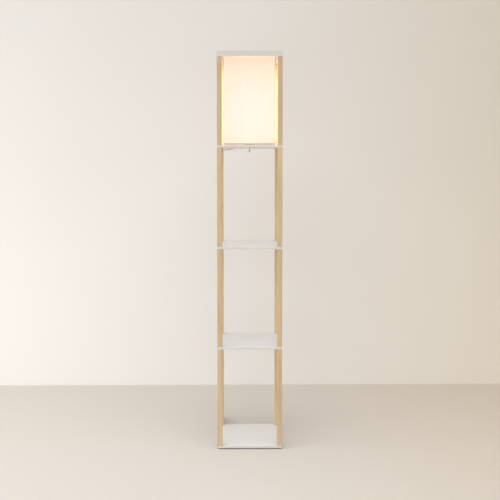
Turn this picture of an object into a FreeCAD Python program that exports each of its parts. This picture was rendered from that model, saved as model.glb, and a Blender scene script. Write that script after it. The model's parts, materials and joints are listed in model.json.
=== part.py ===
import FreeCAD, Part
import Sketcher
import math
import os

Vector = FreeCAD.Vector
Rotation = FreeCAD.Rotation

os.makedirs("parts", exist_ok=True)
doc = FreeCAD.newDocument("ShelfFloorLamp")
sheet = doc.addObject("Spreadsheet::Sheet", "Sizes")
sizes = {}
sub_parts = {}


# Lengths: each one knows its expression in the document and its value in millimetres.


class Length:
    def __init__(self, text, value):
        self.text = text
        self.value = value

    def __add__(self, other):
        other = length(other)
        return Length(f"({self.text} + {other.text})", self.value + other.value)

    def __sub__(self, other):
        other = length(other)
        return Length(f"({self.text} - {other.text})", self.value - other.value)

    def __mul__(self, factor):
        return Length(f"({self.text} * {factor})", self.value * factor)

    def __truediv__(self, divisor):
        return Length(f"({self.text} / {divisor})", self.value / divisor)

    def __neg__(self):
        return self * -1

    __radd__ = __add__
    __rmul__ = __mul__


def length(value):
    return value if isinstance(value, Length) else Length(str(float(value)), float(value))


def driving_size(alias, value, note):
    row = len(sizes) + 1
    sheet.set(f"A{row}", note)
    sheet.set(f"B{row}", str(value))
    sheet.setAlias(f"B{row}", alias)
    sizes[alias] = Length(f"Sizes.{alias}", float(value))
    return sizes[alias]


# The wooden frame: four legs in stacked segments, with a square board between each two.
board_side = driving_size("board_side", 260, "side of the square boards")
board_thickness = driving_size("board_thickness", 9, "thickness of the boards")
board_edge = driving_size("board_edge", 0.8, "rounding of the boards' edges")
post_width = driving_size("post_width", 20, "side of the square posts")
post_edge = driving_size("post_edge", 1.2, "rounding of the posts' long edges")
shelf_post_length = driving_size("shelf_post_length", 395, "post between two shelves")
lamp_post_length = driving_size("lamp_post_length", 350, "post beside the shade")
frame_rim = driving_size("frame_rim", 50, "width of the lamp frame around its window")
top_rail_height = driving_size("top_rail_height", 21, "height of the top rails")
top_rail_width = driving_size("top_rail_width", 20, "width of the top rails")
foot_radius = driving_size("foot_radius", 8, "radius of the foot pads")
foot_height = driving_size("foot_height", 4, "height of the foot pads")
foot_inset = driving_size("foot_inset", 32, "foot pad centre from the board's side")

# Fasteners of the frame.
fit_gap = driving_size("fit_gap", 0.06, "radial gap of a tight hole")
stud_radius = driving_size("stud_radius", 3, "radius of the joint studs and base bolts")
stud_hole_radius = driving_size("stud_hole_radius", 3.4, "hole for a stud in a board")
stud_sunk = driving_size("stud_sunk", 25, "stud in the post below its board")
stud_proud = driving_size("stud_proud", 12, "stud above its board")
insert_radius = driving_size("insert_radius", 4.6, "outer radius of the thread inserts")
insert_length = driving_size("insert_length", 15, "length of the thread inserts")
drill_spare = driving_size("drill_spare", 2, "drilled depth past a fastener's end")
pilot_spare = driving_size("pilot_spare", 0.5, "pilot hole past a small screw's end")
bolt_head_radius = driving_size("bolt_head_radius", 5.5, "head of the base bolts")
bolt_head_height = driving_size("bolt_head_height", 3, "height of the base bolts' heads")
head_gap = driving_size("head_gap", 0.4, "gap around a sunk screw head")
screw_radius = driving_size("screw_radius", 2, "radius of the top screws")
screw_head_radius = driving_size("screw_head_radius", 4, "head of the top screws")
screw_head_height = driving_size("screw_head_height", 2.8, "height of the top screws' heads")
screw_sunk = driving_size("screw_sunk", 24, "top screw in the lamp post")
dowel_radius = driving_size("dowel_radius", 2.4, "radius of the rail dowels")
dowel_sunk = driving_size("dowel_sunk", 11, "dowel in each rail")
dowel_spread = driving_size("dowel_spread", 5.6, "dowel axis from the rail's middle")
dowel_height = driving_size("dowel_height", 8.4, "dowel axis above the rails' lower face")

# The shade: a fabric box on two wire rings, clipped to the lamp frame.
shade_side_gap = driving_size("shade_side_gap", 9, "shade from the posts' inner faces")
shade_bottom_gap = driving_size("shade_bottom_gap", 4, "shade above the lamp frame")
shade_top_rise = driving_size("shade_top_rise", 7, "shade above the top rails' lower face")
shade_wall = driving_size("shade_wall", 1, "thickness of the shade's lined fabric")
shade_corner = driving_size("shade_corner", 7, "outer corner radius of the shade")
ring_wire_radius = driving_size("ring_wire_radius", 1.5, "wire of the shade rings")
ring_gap = driving_size("ring_gap", 0.3, "ring wire from the fabric")
ring_inset = driving_size("ring_inset", 1, "ring wire from the fabric's open edge")
clip_length = driving_size("clip_length", 12, "shade clip along its ring")
clip_sheet = driving_size("clip_sheet", 1.2, "sheet of the shade clips")
clip_foot = driving_size("clip_foot", 14, "foot of a shade clip on the frame")
clip_spread = driving_size("clip_spread", 60, "shade clip from the middle")
clip_play = driving_size("clip_play", 0.25, "gap between a shade clip and its ring")

# The lamp holder on its steel strap.
strap_width = driving_size("strap_width", 30, "width of the steel strap")
strap_thickness = driving_size("strap_thickness", 2, "thickness of the steel strap")
strap_end_gap = driving_size("strap_end_gap", 3, "strap end from the frame's side")
strap_screw_inset = driving_size("strap_screw_inset", 10, "strap screw from the frame's side")
small_screw_radius = driving_size("small_screw_radius", 1.5, "radius of the strap and clip screws")
small_head_radius = driving_size("small_head_radius", 2.9, "head of the strap and clip screws")
small_head_height = driving_size("small_head_height", 1.6, "height of those heads")
small_screw_length = driving_size("small_screw_length", 8, "strap and clip screw below its head")
nipple_radius = driving_size("nipple_radius", 5, "outer radius of the threaded nipple")
nipple_bore = driving_size("nipple_bore", 3.5, "bore radius of the threaded nipple")
nipple_below = driving_size("nipple_below", 6, "nipple below the strap")
nipple_above = driving_size("nipple_above", 8, "nipple above the strap")
nipple_play = driving_size("nipple_play", 0.2, "gap around the nipple in the strap")
nut_radius = driving_size("nut_radius", 8, "corner radius of the lock nut")
nut_height = driving_size("nut_height", 4, "height of the lock nut")
cap_radius = driving_size("cap_radius", 19.5, "outer radius of the holder cap")
cap_height = driving_size("cap_height", 22, "height of the holder cap")
cap_wall = driving_size("cap_wall", 1.2, "wall of the holder cap")
cap_floor = driving_size("cap_floor", 5, "threaded floor of the holder cap")
cap_ledge = driving_size("cap_ledge", 3, "ledge that the holder shell stands on")
shell_wall = driving_size("shell_wall", 0.8, "wall of the holder shell")
shell_sunk = driving_size("shell_sunk", 6, "shell inside the cap")
shell_height = driving_size("shell_height", 56, "height of the holder shell")
liner_wall = driving_size("liner_wall", 0.8, "wall of the insulating liner")
holder_play = driving_size("holder_play", 0.3, "gap between the holder's sleeves")
switch_radius = driving_size("switch_radius", 16, "radius of the switch body")
switch_height = driving_size("switch_height", 18, "height of the switch body")
switch_lift = driving_size("switch_lift", 0.4, "switch body above the cap's wall")
contact_radius = driving_size("contact_radius", 4.5, "radius of the centre contact")
contact_height = driving_size("contact_height", 2, "height of the centre contact")
screw_shell_radius = driving_size("screw_shell_radius", 15, "outer radius of the screw shell")
screw_shell_wall = driving_size("screw_shell_wall", 0.6, "wall of the screw shell")
screw_shell_height = driving_size("screw_shell_height", 29, "height of the screw shell")
bush_radius = driving_size("bush_radius", 4.6, "outer radius of the lead bush")
bush_reach = driving_size("bush_reach", 6, "lead bush outside the cap")
bush_inside = driving_size("bush_inside", 1, "lead bush inside the cap's ledge")
bush_lift = driving_size("bush_lift", 1, "lead bush above the cap's floor")
bush_angle = 120.0

# The pull switch.
lever_reach = driving_size("lever_reach", 25, "lever pivot to the chain")
lever_pivot_y = driving_size("lever_pivot_y", 9, "lever pivot in front of the axis")
lever_width = driving_size("lever_width", 2, "width of the lever")
lever_depth = driving_size("lever_depth", 3, "height of the lever's arm")
lever_boss_radius = driving_size("lever_boss_radius", 2.5, "boss around the lever pin")
lever_eye_radius = driving_size("lever_eye_radius", 2.6, "eye at the lever's tip")
lever_eye_height = driving_size("lever_eye_height", 1, "thickness of the eye")
lever_eye_bore = driving_size("lever_eye_bore", 0.9, "hole of the eye")
lever_slot_play = driving_size("lever_slot_play", 0.5, "gap beside the lever in its slots")
lever_slot_drop = driving_size("lever_slot_drop", 6.5, "slot below the lever's axis")
pin_radius = driving_size("pin_radius", 1, "radius of the lever pin")
pin_play = driving_size("pin_play", 0.08, "running gap of the lever on its pin")
pin_length = driving_size("pin_length", 12, "length of the lever pin")
bead_radius = driving_size("bead_radius", 1.2, "radius of a chain bead")
bead_pitch = driving_size("bead_pitch", 3.4, "distance between two beads")
bead_count = 11
bead_drop = driving_size("bead_drop", 0.5, "first bead below the eye")
bead_lift = driving_size("bead_lift", 0.3, "last bead above the eye")
tip_play = driving_size("tip_play", 1.2, "gap around the beads at the lever's tip")
link_radius = driving_size("link_radius", 0.35, "wire between two beads")
bell_length = driving_size("bell_length", 15, "length of the chain's bell")
bell_top_radius = driving_size("bell_top_radius", 1.7, "bell at its top")
bell_radius = driving_size("bell_radius", 3.6, "bell at its widest")
bell_foot_radius = driving_size("bell_foot_radius", 2.9, "bell at its foot")
bell_lip_height = driving_size("bell_lip_height", 1.8, "widest place above the bell's foot")
bell_neck_radius = driving_size("bell_neck_radius", 2.05, "bell at its neck")
bell_neck_height = driving_size("bell_neck_height", 9.8, "neck above the bell's foot")
tail_length = driving_size("tail_length", 0.8, "wire between the last bead and the bell")

# The bulb.
bulb_cap_radius = driving_size("bulb_cap_radius", 13, "radius of the bulb's screw cap")
bulb_cap_height = driving_size("bulb_cap_height", 25, "height of the bulb's screw cap")
bulb_contact_radius = driving_size("bulb_contact_radius", 4, "radius of the bulb's contact")
bulb_contact_height = driving_size("bulb_contact_height", 2, "height of the bulb's contact")
bulb_lift = driving_size("bulb_lift", 0.3, "bulb contact above the holder's contact")
bulb_neck_radius = driving_size("bulb_neck_radius", 13.8, "bulb housing at its foot")
bulb_collar_radius = driving_size("bulb_collar_radius", 14.8, "bulb housing at its collar")
bulb_collar_height = driving_size("bulb_collar_height", 9, "collar above the housing's foot")
globe_radius = driving_size("globe_radius", 30, "radius of the bulb's globe")
globe_wall = driving_size("globe_wall", 1, "wall of the globe")
bulb_length = driving_size("bulb_length", 110, "bulb from its contact to its top")
globe_cut_angle = 35.0
globe_hollow_angle = 45.0
led_plate_gap = driving_size("led_plate_gap", 1, "emitter plate from the globe")
led_plate_height = driving_size("led_plate_height", 2, "thickness of the emitter plate")

# The mains lead, its clips, its coil and its plug.
lead_radius = driving_size("lead_radius", 2.5, "radius of the mains lead")
lead_play = driving_size("lead_play", 0.3, "gap between the lead and what holds it")
lead_standoff = driving_size("lead_standoff", 3.3, "lead axis from what it is clipped to")
lead_left = driving_size("lead_left", 121, "clipped lead to the left of the middle")
lead_clip_height = driving_size("lead_clip_height", 9, "stick-on clip along the lead")
lead_clip_width = driving_size("lead_clip_width", 13, "stick-on clip across the lead")
lead_clip_depth = driving_size("lead_clip_depth", 7, "stick-on clip from its seat")
lead_clip_first = driving_size("lead_clip_first", 200, "lowest clip above the floor")
lead_clip_pitch = driving_size("lead_clip_pitch", 280, "distance between two clips")
lead_clip_count = 4
coil_near = driving_size("coil_near", 10, "coil's outer turn behind the leg")
coil_inner_radius = driving_size("coil_inner_radius", 20, "innermost turn of the coil")
coil_pitch = driving_size("coil_pitch", 5.7, "distance between two turns")
coil_turns = 7.25
tie_width = driving_size("tie_width", 8, "width of the coil's tie")
tie_sheet = driving_size("tie_sheet", 1.4, "thickness of the tie")
tie_mount_width = driving_size("tie_mount_width", 14, "side of the tie's stick-on mount")
tie_mount_gap = driving_size("tie_mount_gap", 0.9, "coil from the tie's mount")
tie_end_play = driving_size("tie_end_play", 1.2, "gap between the tie and the inner turn")
tie_side_play = driving_size("tie_side_play", 0.5, "gap between the tie and the turns' sides")
tie_slot_play = driving_size("tie_slot_play", 0.15, "gap around the tie in its mount")
plug_width = driving_size("plug_width", 24, "width of the plug")
plug_thickness = driving_size("plug_thickness", 15, "thickness of the plug")
plug_length = driving_size("plug_length", 27, "length of the plug's body")
plug_edge = driving_size("plug_edge", 3, "rounding of the plug")
plug_relief_length = driving_size("plug_relief_length", 22, "tapered strain relief")
plug_relief_radius = driving_size("plug_relief_radius", 4.6, "relief at the plug")
plug_relief_wall = driving_size("plug_relief_wall", 0.6, "relief's wall where the lead enters")
floor_gap = driving_size("floor_gap", 0.2, "plug above the floor")
blade_spacing = driving_size("blade_spacing", 12.7, "distance between the blades")
blade_length = driving_size("blade_length", 17, "length of a blade")
blade_width = driving_size("blade_width", 6.35, "width of a blade")
blade_thickness = driving_size("blade_thickness", 1.5, "thickness of a blade")

# Levels of the stack, from the floor up.
half_board = board_side / 2
post_axis = half_board - post_width / 2
base_level = foot_height
lower_post_level = base_level + board_thickness
lower_shelf_level = lower_post_level + shelf_post_length
middle_post_level = lower_shelf_level + board_thickness
upper_shelf_level = middle_post_level + shelf_post_length
upper_post_level = upper_shelf_level + board_thickness
lamp_frame_level = upper_post_level + shelf_post_length
strap_level = lamp_frame_level + board_thickness
top_rail_level = strap_level + lamp_post_length


# Helpers that make one bound object each.


def bind(thing, name, value):
    thing.setExpression(name, length(value).text)


def place(thing, x=0, y=0, z=0, turn=None):
    spots = [length(x), length(y), length(z)]
    thing.Placement = FreeCAD.Placement(Vector(*[spot.value for spot in spots]), turn or Rotation())
    for axis, spot in zip("xyz", spots):
        thing.setExpression(f"Placement.Base.{axis}", spot.text)
    return thing


def name_part(thing, label):
    thing.Label = label
    sub_parts[label] = thing
    return thing


def box(sides, x, y, z, turn=None):
    thing = doc.addObject("Part::Box", "Block")
    for name, side in zip(("Length", "Width", "Height"), sides):
        bind(thing, name, side)
    return place(thing, x, y, z, turn)


def block(sides, x, y, z):
    """A box whose middle is at x and y, and whose foot is at z."""
    return box(sides, length(x) - length(sides[0]) / 2, length(y) - length(sides[1]) / 2, z)


def cylinder(radius, height, x, y, z, turn=None):
    thing = doc.addObject("Part::Cylinder", "Rod")
    bind(thing, "Radius", radius)
    bind(thing, "Height", height)
    return place(thing, x, y, z, turn)


def fuse(things):
    thing = doc.addObject("Part::MultiFuse", "Joined")
    thing.Shapes = things
    return thing


def cut(base, tools):
    thing = doc.addObject("Part::Cut", "Cut")
    thing.Base = base
    thing.Tool = tools[0] if len(tools) == 1 else fuse(tools)
    return thing


def group(things):
    thing = doc.addObject("Part::Compound", "Set")
    thing.Links = things
    return thing


def corners(distance):
    return [(distance * side, distance * depth) for side in (-1, 1) for depth in (-1, 1)]


# Turned, padded and drilled bodies.


def new_body(label=None):
    body = doc.addObject("PartDesign::Body", "Body")
    return name_part(body, label) if label else body


def new_sketch(body, role):
    plane = next(item for item in body.Origin.OriginFeatures if item.Role == role)
    sketch = body.newObject("Sketcher::SketchObject", "Outline")
    sketch.AttachmentSupport = (plane, [""])
    sketch.MapMode = "FlatFace"
    return sketch


def hold(sketch, kind, value, *where):
    number = sketch.addConstraint(Sketcher.Constraint(kind, *where, value.value))
    sketch.setExpression(f"Constraints[{number}]", value.text)


def add_outline(sketch, points):
    """A closed outline of straight lines, each corner held to its two lengths."""
    points = [(length(a), length(b)) for a, b in points]
    spots = [Vector(a.value, b.value, 0) for a, b in points]
    first = sketch.GeometryCount
    total = len(points)
    for i in range(total):
        sketch.addGeometry(Part.LineSegment(spots[i], spots[(i + 1) % total]))
    for i in range(total):
        here = first + i
        sketch.addConstraint(Sketcher.Constraint("Coincident", here, 2, first + (i + 1) % total, 1))
        for kind, value, axis in (("DistanceX", points[i][0], -2), ("DistanceY", points[i][1], -1)):
            if value.value == 0:
                sketch.addConstraint(Sketcher.Constraint("PointOnObject", here, 1, axis))
            else:
                hold(sketch, kind, value, -1, 1, here, 1)


def add_rectangle(sketch, width, depth):
    a, b = width / 2, depth / 2
    add_outline(sketch, [(-a, -b), (a, -b), (a, b), (-a, b)])


def add_circles(sketch, radius, spots):
    for x, y in spots:
        x, y = length(x), length(y)
        circle = Part.Circle(Vector(x.value, y.value, 0), Vector(0, 0, 1), radius.value)
        number = sketch.addGeometry(circle)
        hold(sketch, "Radius", radius, number)
        for kind, value, axis in (("DistanceX", x, -2), ("DistanceY", y, -1)):
            if value.value == 0:
                sketch.addConstraint(Sketcher.Constraint("PointOnObject", number, 3, axis))
            else:
                hold(sketch, kind, value, -1, 1, number, 3)


def pad(body, sketch, height):
    feature = body.newObject("PartDesign::Pad", "Pad")
    feature.Profile = sketch
    bind(feature, "Length", height)
    return feature


def drill(body, radius, spots, depth, start=0, downward=False):
    """Round holes from the level start, up into the body or down into it."""
    sketch = new_sketch(body, "XY_Plane")
    sketch.setExpression("AttachmentOffset.Base.z", length(start).text)
    add_circles(sketch, radius, spots)
    feature = body.newObject("PartDesign::Pocket", "Drilling")
    feature.Profile = sketch
    bind(feature, "Length", depth)
    feature.Reversed = not downward
    return feature


def round_edges(body, base, radius, wanted):
    """Rounds the straight edges of the body whose direction wanted accepts."""
    doc.recompute()
    names = []
    for number, edge in enumerate(base.Shape.Edges, 1):
        ends = [vertex.Point for vertex in edge.Vertexes]
        if wanted(ends[1] - ends[0]):
            names.append(f"Edge{number}")
    feature = body.newObject("PartDesign::Fillet", "Rounding")
    feature.Base = (base, names)
    bind(feature, "Radius", radius)
    return feature


def lies_flat(direction):
    return abs(direction.z) < 1e-6


def stands_upright(direction):
    return abs(direction.x) < 1e-6 and abs(direction.y) < 1e-6


def turned(label, outline, x=0, y=0, z=0):
    """A body turned about its own Z axis from an outline of radii and heights."""
    body = new_body(label)
    sketch = new_sketch(body, "XZ_Plane")
    add_outline(sketch, outline)
    feature = body.newObject("PartDesign::Revolution", "Turning")
    feature.Profile = sketch
    feature.ReferenceAxis = (sketch, ["V_Axis"])
    feature.Angle = 360
    place(body, x, y, z)
    return body


def sleeve(radius, bore, height):
    """The outline of a plain tube."""
    return [(bore, 0), (radius, 0), (radius, height), (bore, height)]


# The boards and the feet.


def make_board(label, level):
    body = new_body(label)
    sketch = new_sketch(body, "XY_Plane")
    add_rectangle(sketch, board_side, board_side)
    plate = pad(body, sketch, board_thickness)
    round_edges(body, plate, board_edge, lies_flat)
    drill(body, stud_hole_radius, corners(post_axis), board_thickness)
    place(body, 0, 0, level)
    return body


def make_boards():
    base = make_board("base_shelf", base_level)
    sunk = bolt_head_height + head_gap
    drill(base, bolt_head_radius + head_gap, corners(post_axis), sunk)
    make_board("lower_shelf", lower_shelf_level)
    make_board("upper_shelf", upper_shelf_level)
    frame = make_board("lamp_frame", lamp_frame_level)
    window = board_side - frame_rim * 2
    sketch = new_sketch(frame, "XY_Plane")
    add_rectangle(sketch, window, window)
    opening = frame.newObject("PartDesign::Pocket", "Window")
    opening.Profile = sketch
    opening.Reversed = True
    bind(opening, "Length", board_thickness)
    pilot_depth = small_screw_length - strap_thickness + pilot_spare
    drill(frame, small_screw_radius + fit_gap, strap_screw_spots(), pilot_depth, board_thickness, True)
    clip_depth = small_screw_length - clip_sheet + pilot_spare
    drill(frame, small_screw_radius + fit_gap, clip_screw_spots(), clip_depth, board_thickness, True)


def make_feet():
    inset = half_board - foot_inset
    pads = [cylinder(foot_radius, foot_height, x, y, 0) for x, y in corners(inset)]
    name_part(group(pads), "foot_pads")


# The posts, four to each level.

insert_drill_depth = insert_length + drill_spare


def make_post(label, x, y, level, post_length, top_radius, top_depth):
    body = new_body(label)
    sketch = new_sketch(body, "XY_Plane")
    add_rectangle(sketch, post_width, post_width)
    bar = pad(body, sketch, post_length)
    round_edges(body, bar, post_edge, stands_upright)
    drill(body, insert_radius + fit_gap, [(0, 0)], insert_length)
    drill(body, stud_radius + fit_gap, [(0, 0)], insert_drill_depth)
    drill(body, top_radius, [(0, 0)], top_depth, post_length, True)
    place(body, x, y, level)


def make_posts():
    levels = [
        ("lower", lower_post_level, shelf_post_length),
        ("middle", middle_post_level, shelf_post_length),
        ("upper", upper_post_level, shelf_post_length),
        ("lamp", strap_level, lamp_post_length),
    ]
    for level_name, level, post_length in levels:
        topmost = level_name == "lamp"
        top_radius = (screw_radius if topmost else stud_radius) + fit_gap
        top_depth = (screw_sunk if topmost else stud_sunk) + drill_spare
        for depth_name, y in (("front", -post_axis), ("rear", post_axis)):
            for side_name, x in (("left", -post_axis), ("right", post_axis)):
                label = f"post_{level_name}_{depth_name}_{side_name}"
                make_post(label, x, y, level, post_length, top_radius, top_depth)


def make_frame_fasteners():
    studs = []
    for level in (lower_shelf_level, upper_shelf_level, lamp_frame_level):
        for x, y in corners(post_axis):
            height = stud_sunk + board_thickness + stud_proud
            studs.append(cylinder(stud_radius, height, x, y, level - stud_sunk))
    name_part(group(studs), "joint_studs")

    bolts = []
    for x, y in corners(post_axis):
        head = cylinder(bolt_head_radius, bolt_head_height, x, y, base_level + head_gap)
        shank_length = board_thickness - head_gap + stud_proud
        shank = cylinder(stud_radius, shank_length, x, y, base_level + head_gap)
        bolts.append(fuse([head, shank]))
    name_part(group(bolts), "base_bolts")

    inserts = []
    for level in (lower_post_level, middle_post_level, upper_post_level, strap_level):
        for x, y in corners(post_axis):
            outside = cylinder(insert_radius, insert_length, x, y, level)
            bore = cylinder(stud_radius + fit_gap, insert_length, x, y, level)
            inserts.append(cut(outside, [bore]))
    name_part(group(inserts), "thread_inserts")


# The top rails, with their dowels and screws.


def make_top():
    middle = post_axis
    dowel_level = top_rail_level + dowel_height
    seam = half_board - top_rail_width
    along_y = Rotation(Vector(1, 0, 0), -90)
    dowel_length = dowel_sunk * 2
    drill_length = dowel_length + drill_spare

    def dowel_rods(radius, rod_length, side, depth):
        start = seam * depth - rod_length / 2
        spots = [middle * side - dowel_spread, middle * side + dowel_spread]
        return [cylinder(radius, rod_length, x, start, dowel_level, along_y) for x in spots]

    def screw_tools(x, y):
        head_level = top_rail_level + top_rail_height - screw_head_height - head_gap
        shaft = cylinder(screw_radius + head_gap, top_rail_height, x, y, top_rail_level)
        recess = cylinder(screw_head_radius + head_gap, screw_head_height + head_gap, x, y, head_level)
        return [shaft, recess]

    for name, depth in (("front", -1), ("rear", 1)):
        blank = block((board_side, top_rail_width, top_rail_height), 0, middle * depth, top_rail_level)
        tools = []
        for side in (-1, 1):
            tools += dowel_rods(dowel_radius + fit_gap, drill_length, side, depth)
            tools += screw_tools(middle * side, middle * depth)
        name_part(cut(blank, tools), f"top_rail_{name}")

    for name, side in (("left", -1), ("right", 1)):
        sides = (top_rail_width, seam * 2, top_rail_height)
        blank = block(sides, middle * side, 0, top_rail_level)
        tools = []
        for depth in (-1, 1):
            tools += dowel_rods(dowel_radius + fit_gap, drill_length, side, depth)
        name_part(cut(blank, tools), f"top_rail_{name}")

    dowels = []
    for side in (-1, 1):
        for depth in (-1, 1):
            dowels += dowel_rods(dowel_radius, dowel_length, side, depth)
    name_part(group(dowels), "top_dowels")

    screws = []
    head_level = top_rail_level + top_rail_height - screw_head_height - head_gap
    shank_foot = top_rail_level - screw_sunk
    for x, y in corners(middle):
        head = cylinder(screw_head_radius, screw_head_height, x, y, head_level)
        shank = cylinder(screw_radius, head_level - shank_foot, x, y, shank_foot)
        screws.append(fuse([head, shank]))
    name_part(group(screws), "top_screws")


# The shade.

shade_half = half_board - post_width - shade_side_gap
shade_level = strap_level + shade_bottom_gap
shade_height = lamp_post_length - shade_bottom_gap + shade_top_rise
ring_half = shade_half - shade_wall - ring_gap - ring_wire_radius


def rounded_tube(half, corner, height, level):
    """A square prism with round upright corners, as bound boxes and cylinders."""
    inner = half - corner
    across = block((half * 2, inner * 2, height), 0, 0, level)
    along = block((inner * 2, half * 2, height), 0, 0, level)
    posts = [cylinder(corner, height, x, y, level) for x, y in corners(inner)]
    joined = fuse([across, along] + posts)
    joined.Refine = True
    return joined


def make_ring(label, level):
    bend = shade_corner - shade_wall - ring_gap - ring_wire_radius
    straight = ring_half - bend
    rods = [(ring_half, -straight), (straight, ring_half), (-ring_half, straight), (-straight, -ring_half)]
    bends = [(straight, straight), (-straight, straight), (-straight, -straight), (straight, -straight)]
    pieces = []
    for quarter in range(4):
        turn = Rotation(Vector(0, 0, 1), quarter * 90)
        rod_turn = turn * Rotation(Vector(1, 0, 0), -90)
        pieces.append(cylinder(ring_wire_radius, straight * 2, *rods[quarter], level, rod_turn))
        elbow = doc.addObject("Part::Torus", "Elbow")
        bind(elbow, "Radius1", bend)
        bind(elbow, "Radius2", ring_wire_radius)
        elbow.Angle3 = 90
        place(elbow, *bends[quarter], level, turn)
        pieces.append(elbow)
    name_part(fuse(pieces), label)


def clip_screw_depth():
    """The distance of the shade clips' screws from the middle, front and rear."""
    inward = shade_wall + ring_gap + ring_wire_radius * 2 + clip_play + clip_sheet
    return shade_half - inward - clip_foot / 2


def clip_screw_spots():
    return [(clip_spread * side, clip_screw_depth() * depth) for side in (-1, 1) for depth in (-1, 1)]


def strap_screw_spots():
    x = half_board - strap_screw_inset
    return [(-x, 0), (x, 0)]


def make_shade():
    outside = rounded_tube(shade_half, shade_corner, shade_height, shade_level)
    inside = rounded_tube(
        shade_half - shade_wall, shade_corner - shade_wall, shade_height, shade_level
    )
    name_part(cut(outside, [inside]), "shade_cover")
    ring_rise = ring_inset + ring_wire_radius
    make_ring("shade_bottom_ring", shade_level + ring_rise)
    make_ring("shade_top_ring", shade_level + shade_height - ring_rise)

    clips = []
    wire_top = shade_level + ring_rise + ring_wire_radius
    wire_in = ring_half - ring_wire_radius - clip_play
    for side in (-1, 1):
        for depth in (-1, 1):
            x = clip_spread * side
            tab_y = (wire_in - clip_sheet / 2) * depth
            foot_y = (wire_in - clip_sheet / 2 - clip_foot / 2) * depth
            hook_depth = clip_sheet + clip_play + ring_wire_radius * 2
            hook_y = (wire_in - clip_sheet + hook_depth / 2) * depth
            foot = block((clip_length, clip_foot + clip_sheet, clip_sheet), x, foot_y, strap_level)
            rise = wire_top + clip_play + clip_sheet - strap_level
            tab = block((clip_length, clip_sheet, rise), x, tab_y, strap_level)
            hook = block((clip_length, hook_depth, clip_sheet), x, hook_y, wire_top + clip_play)
            hole_y = clip_screw_depth() * depth
            hole = cylinder(small_screw_radius + fit_gap, clip_sheet, x, hole_y, strap_level)
            clips.append(cut(fuse([foot, tab, hook]), [hole]))
    name_part(group(clips), "shade_clips")


# The lamp holder on its strap.

cap_level = strap_level + strap_thickness
shell_radius = cap_radius - cap_wall - holder_play
shell_level = cap_level + cap_height - shell_sunk
switch_level = cap_level + cap_height - shell_sunk + switch_lift
switch_top = switch_level + switch_height
lever_level = switch_level + switch_height / 2
bulb_level = switch_top + contact_height + bulb_lift
bush_level = cap_level + cap_floor + bush_radius + bush_lift
slot_width = lever_width + lever_slot_play * 2
slot_top = lever_level + lever_boss_radius + lever_slot_play
slot_foot = lever_level - lever_slot_drop


def outward(distance, angle):
    """The point at that distance from the holder's axis, in plan."""
    radians = math.radians(angle)
    return distance * round(math.cos(radians), 6), distance * round(math.sin(radians), 6)


def make_strap():
    strap_length = board_side - strap_end_gap * 2
    blank = block((strap_length, strap_width, strap_thickness), 0, 0, strap_level)
    tools = [cylinder(nipple_radius + nipple_play, strap_thickness, 0, 0, strap_level)]
    for x, y in strap_screw_spots():
        tools.append(cylinder(small_screw_radius + fit_gap, strap_thickness, x, y, strap_level))
    name_part(cut(blank, tools), "holder_strap")

    screws = []
    seats = [(spot, strap_thickness) for spot in strap_screw_spots()]
    seats += [(spot, clip_sheet) for spot in clip_screw_spots()]
    for (x, y), sheet_height in seats:
        seat = strap_level + sheet_height
        head = cylinder(small_head_radius, small_head_height, x, y, seat)
        shank = cylinder(small_screw_radius, small_screw_length, x, y, seat - small_screw_length)
        screws.append(fuse([head, shank]))
    name_part(group(screws), "small_screws")

    nipple_length = nipple_below + strap_thickness + nipple_above
    outline = sleeve(nipple_radius, nipple_bore, nipple_length)
    turned("threaded_nipple", outline, 0, 0, strap_level - nipple_below)

    nut = doc.addObject("Part::Prism", "Nut")
    nut.Polygon = 6
    bind(nut, "Circumradius", nut_radius)
    bind(nut, "Height", nut_height)
    place(nut, 0, 0, strap_level - nut_height)
    bore = cylinder(nipple_radius + fit_gap, nut_height, 0, 0, strap_level - nut_height)
    name_part(cut(nut, [bore]), "lock_nut")


def front_slot():
    """The tool for the lever's opening in the front of the cap and of the shell."""
    sides = (slot_width, cap_radius, slot_top - slot_foot)
    return box(sides, -slot_width / 2, -cap_radius - holder_play, slot_foot)


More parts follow.
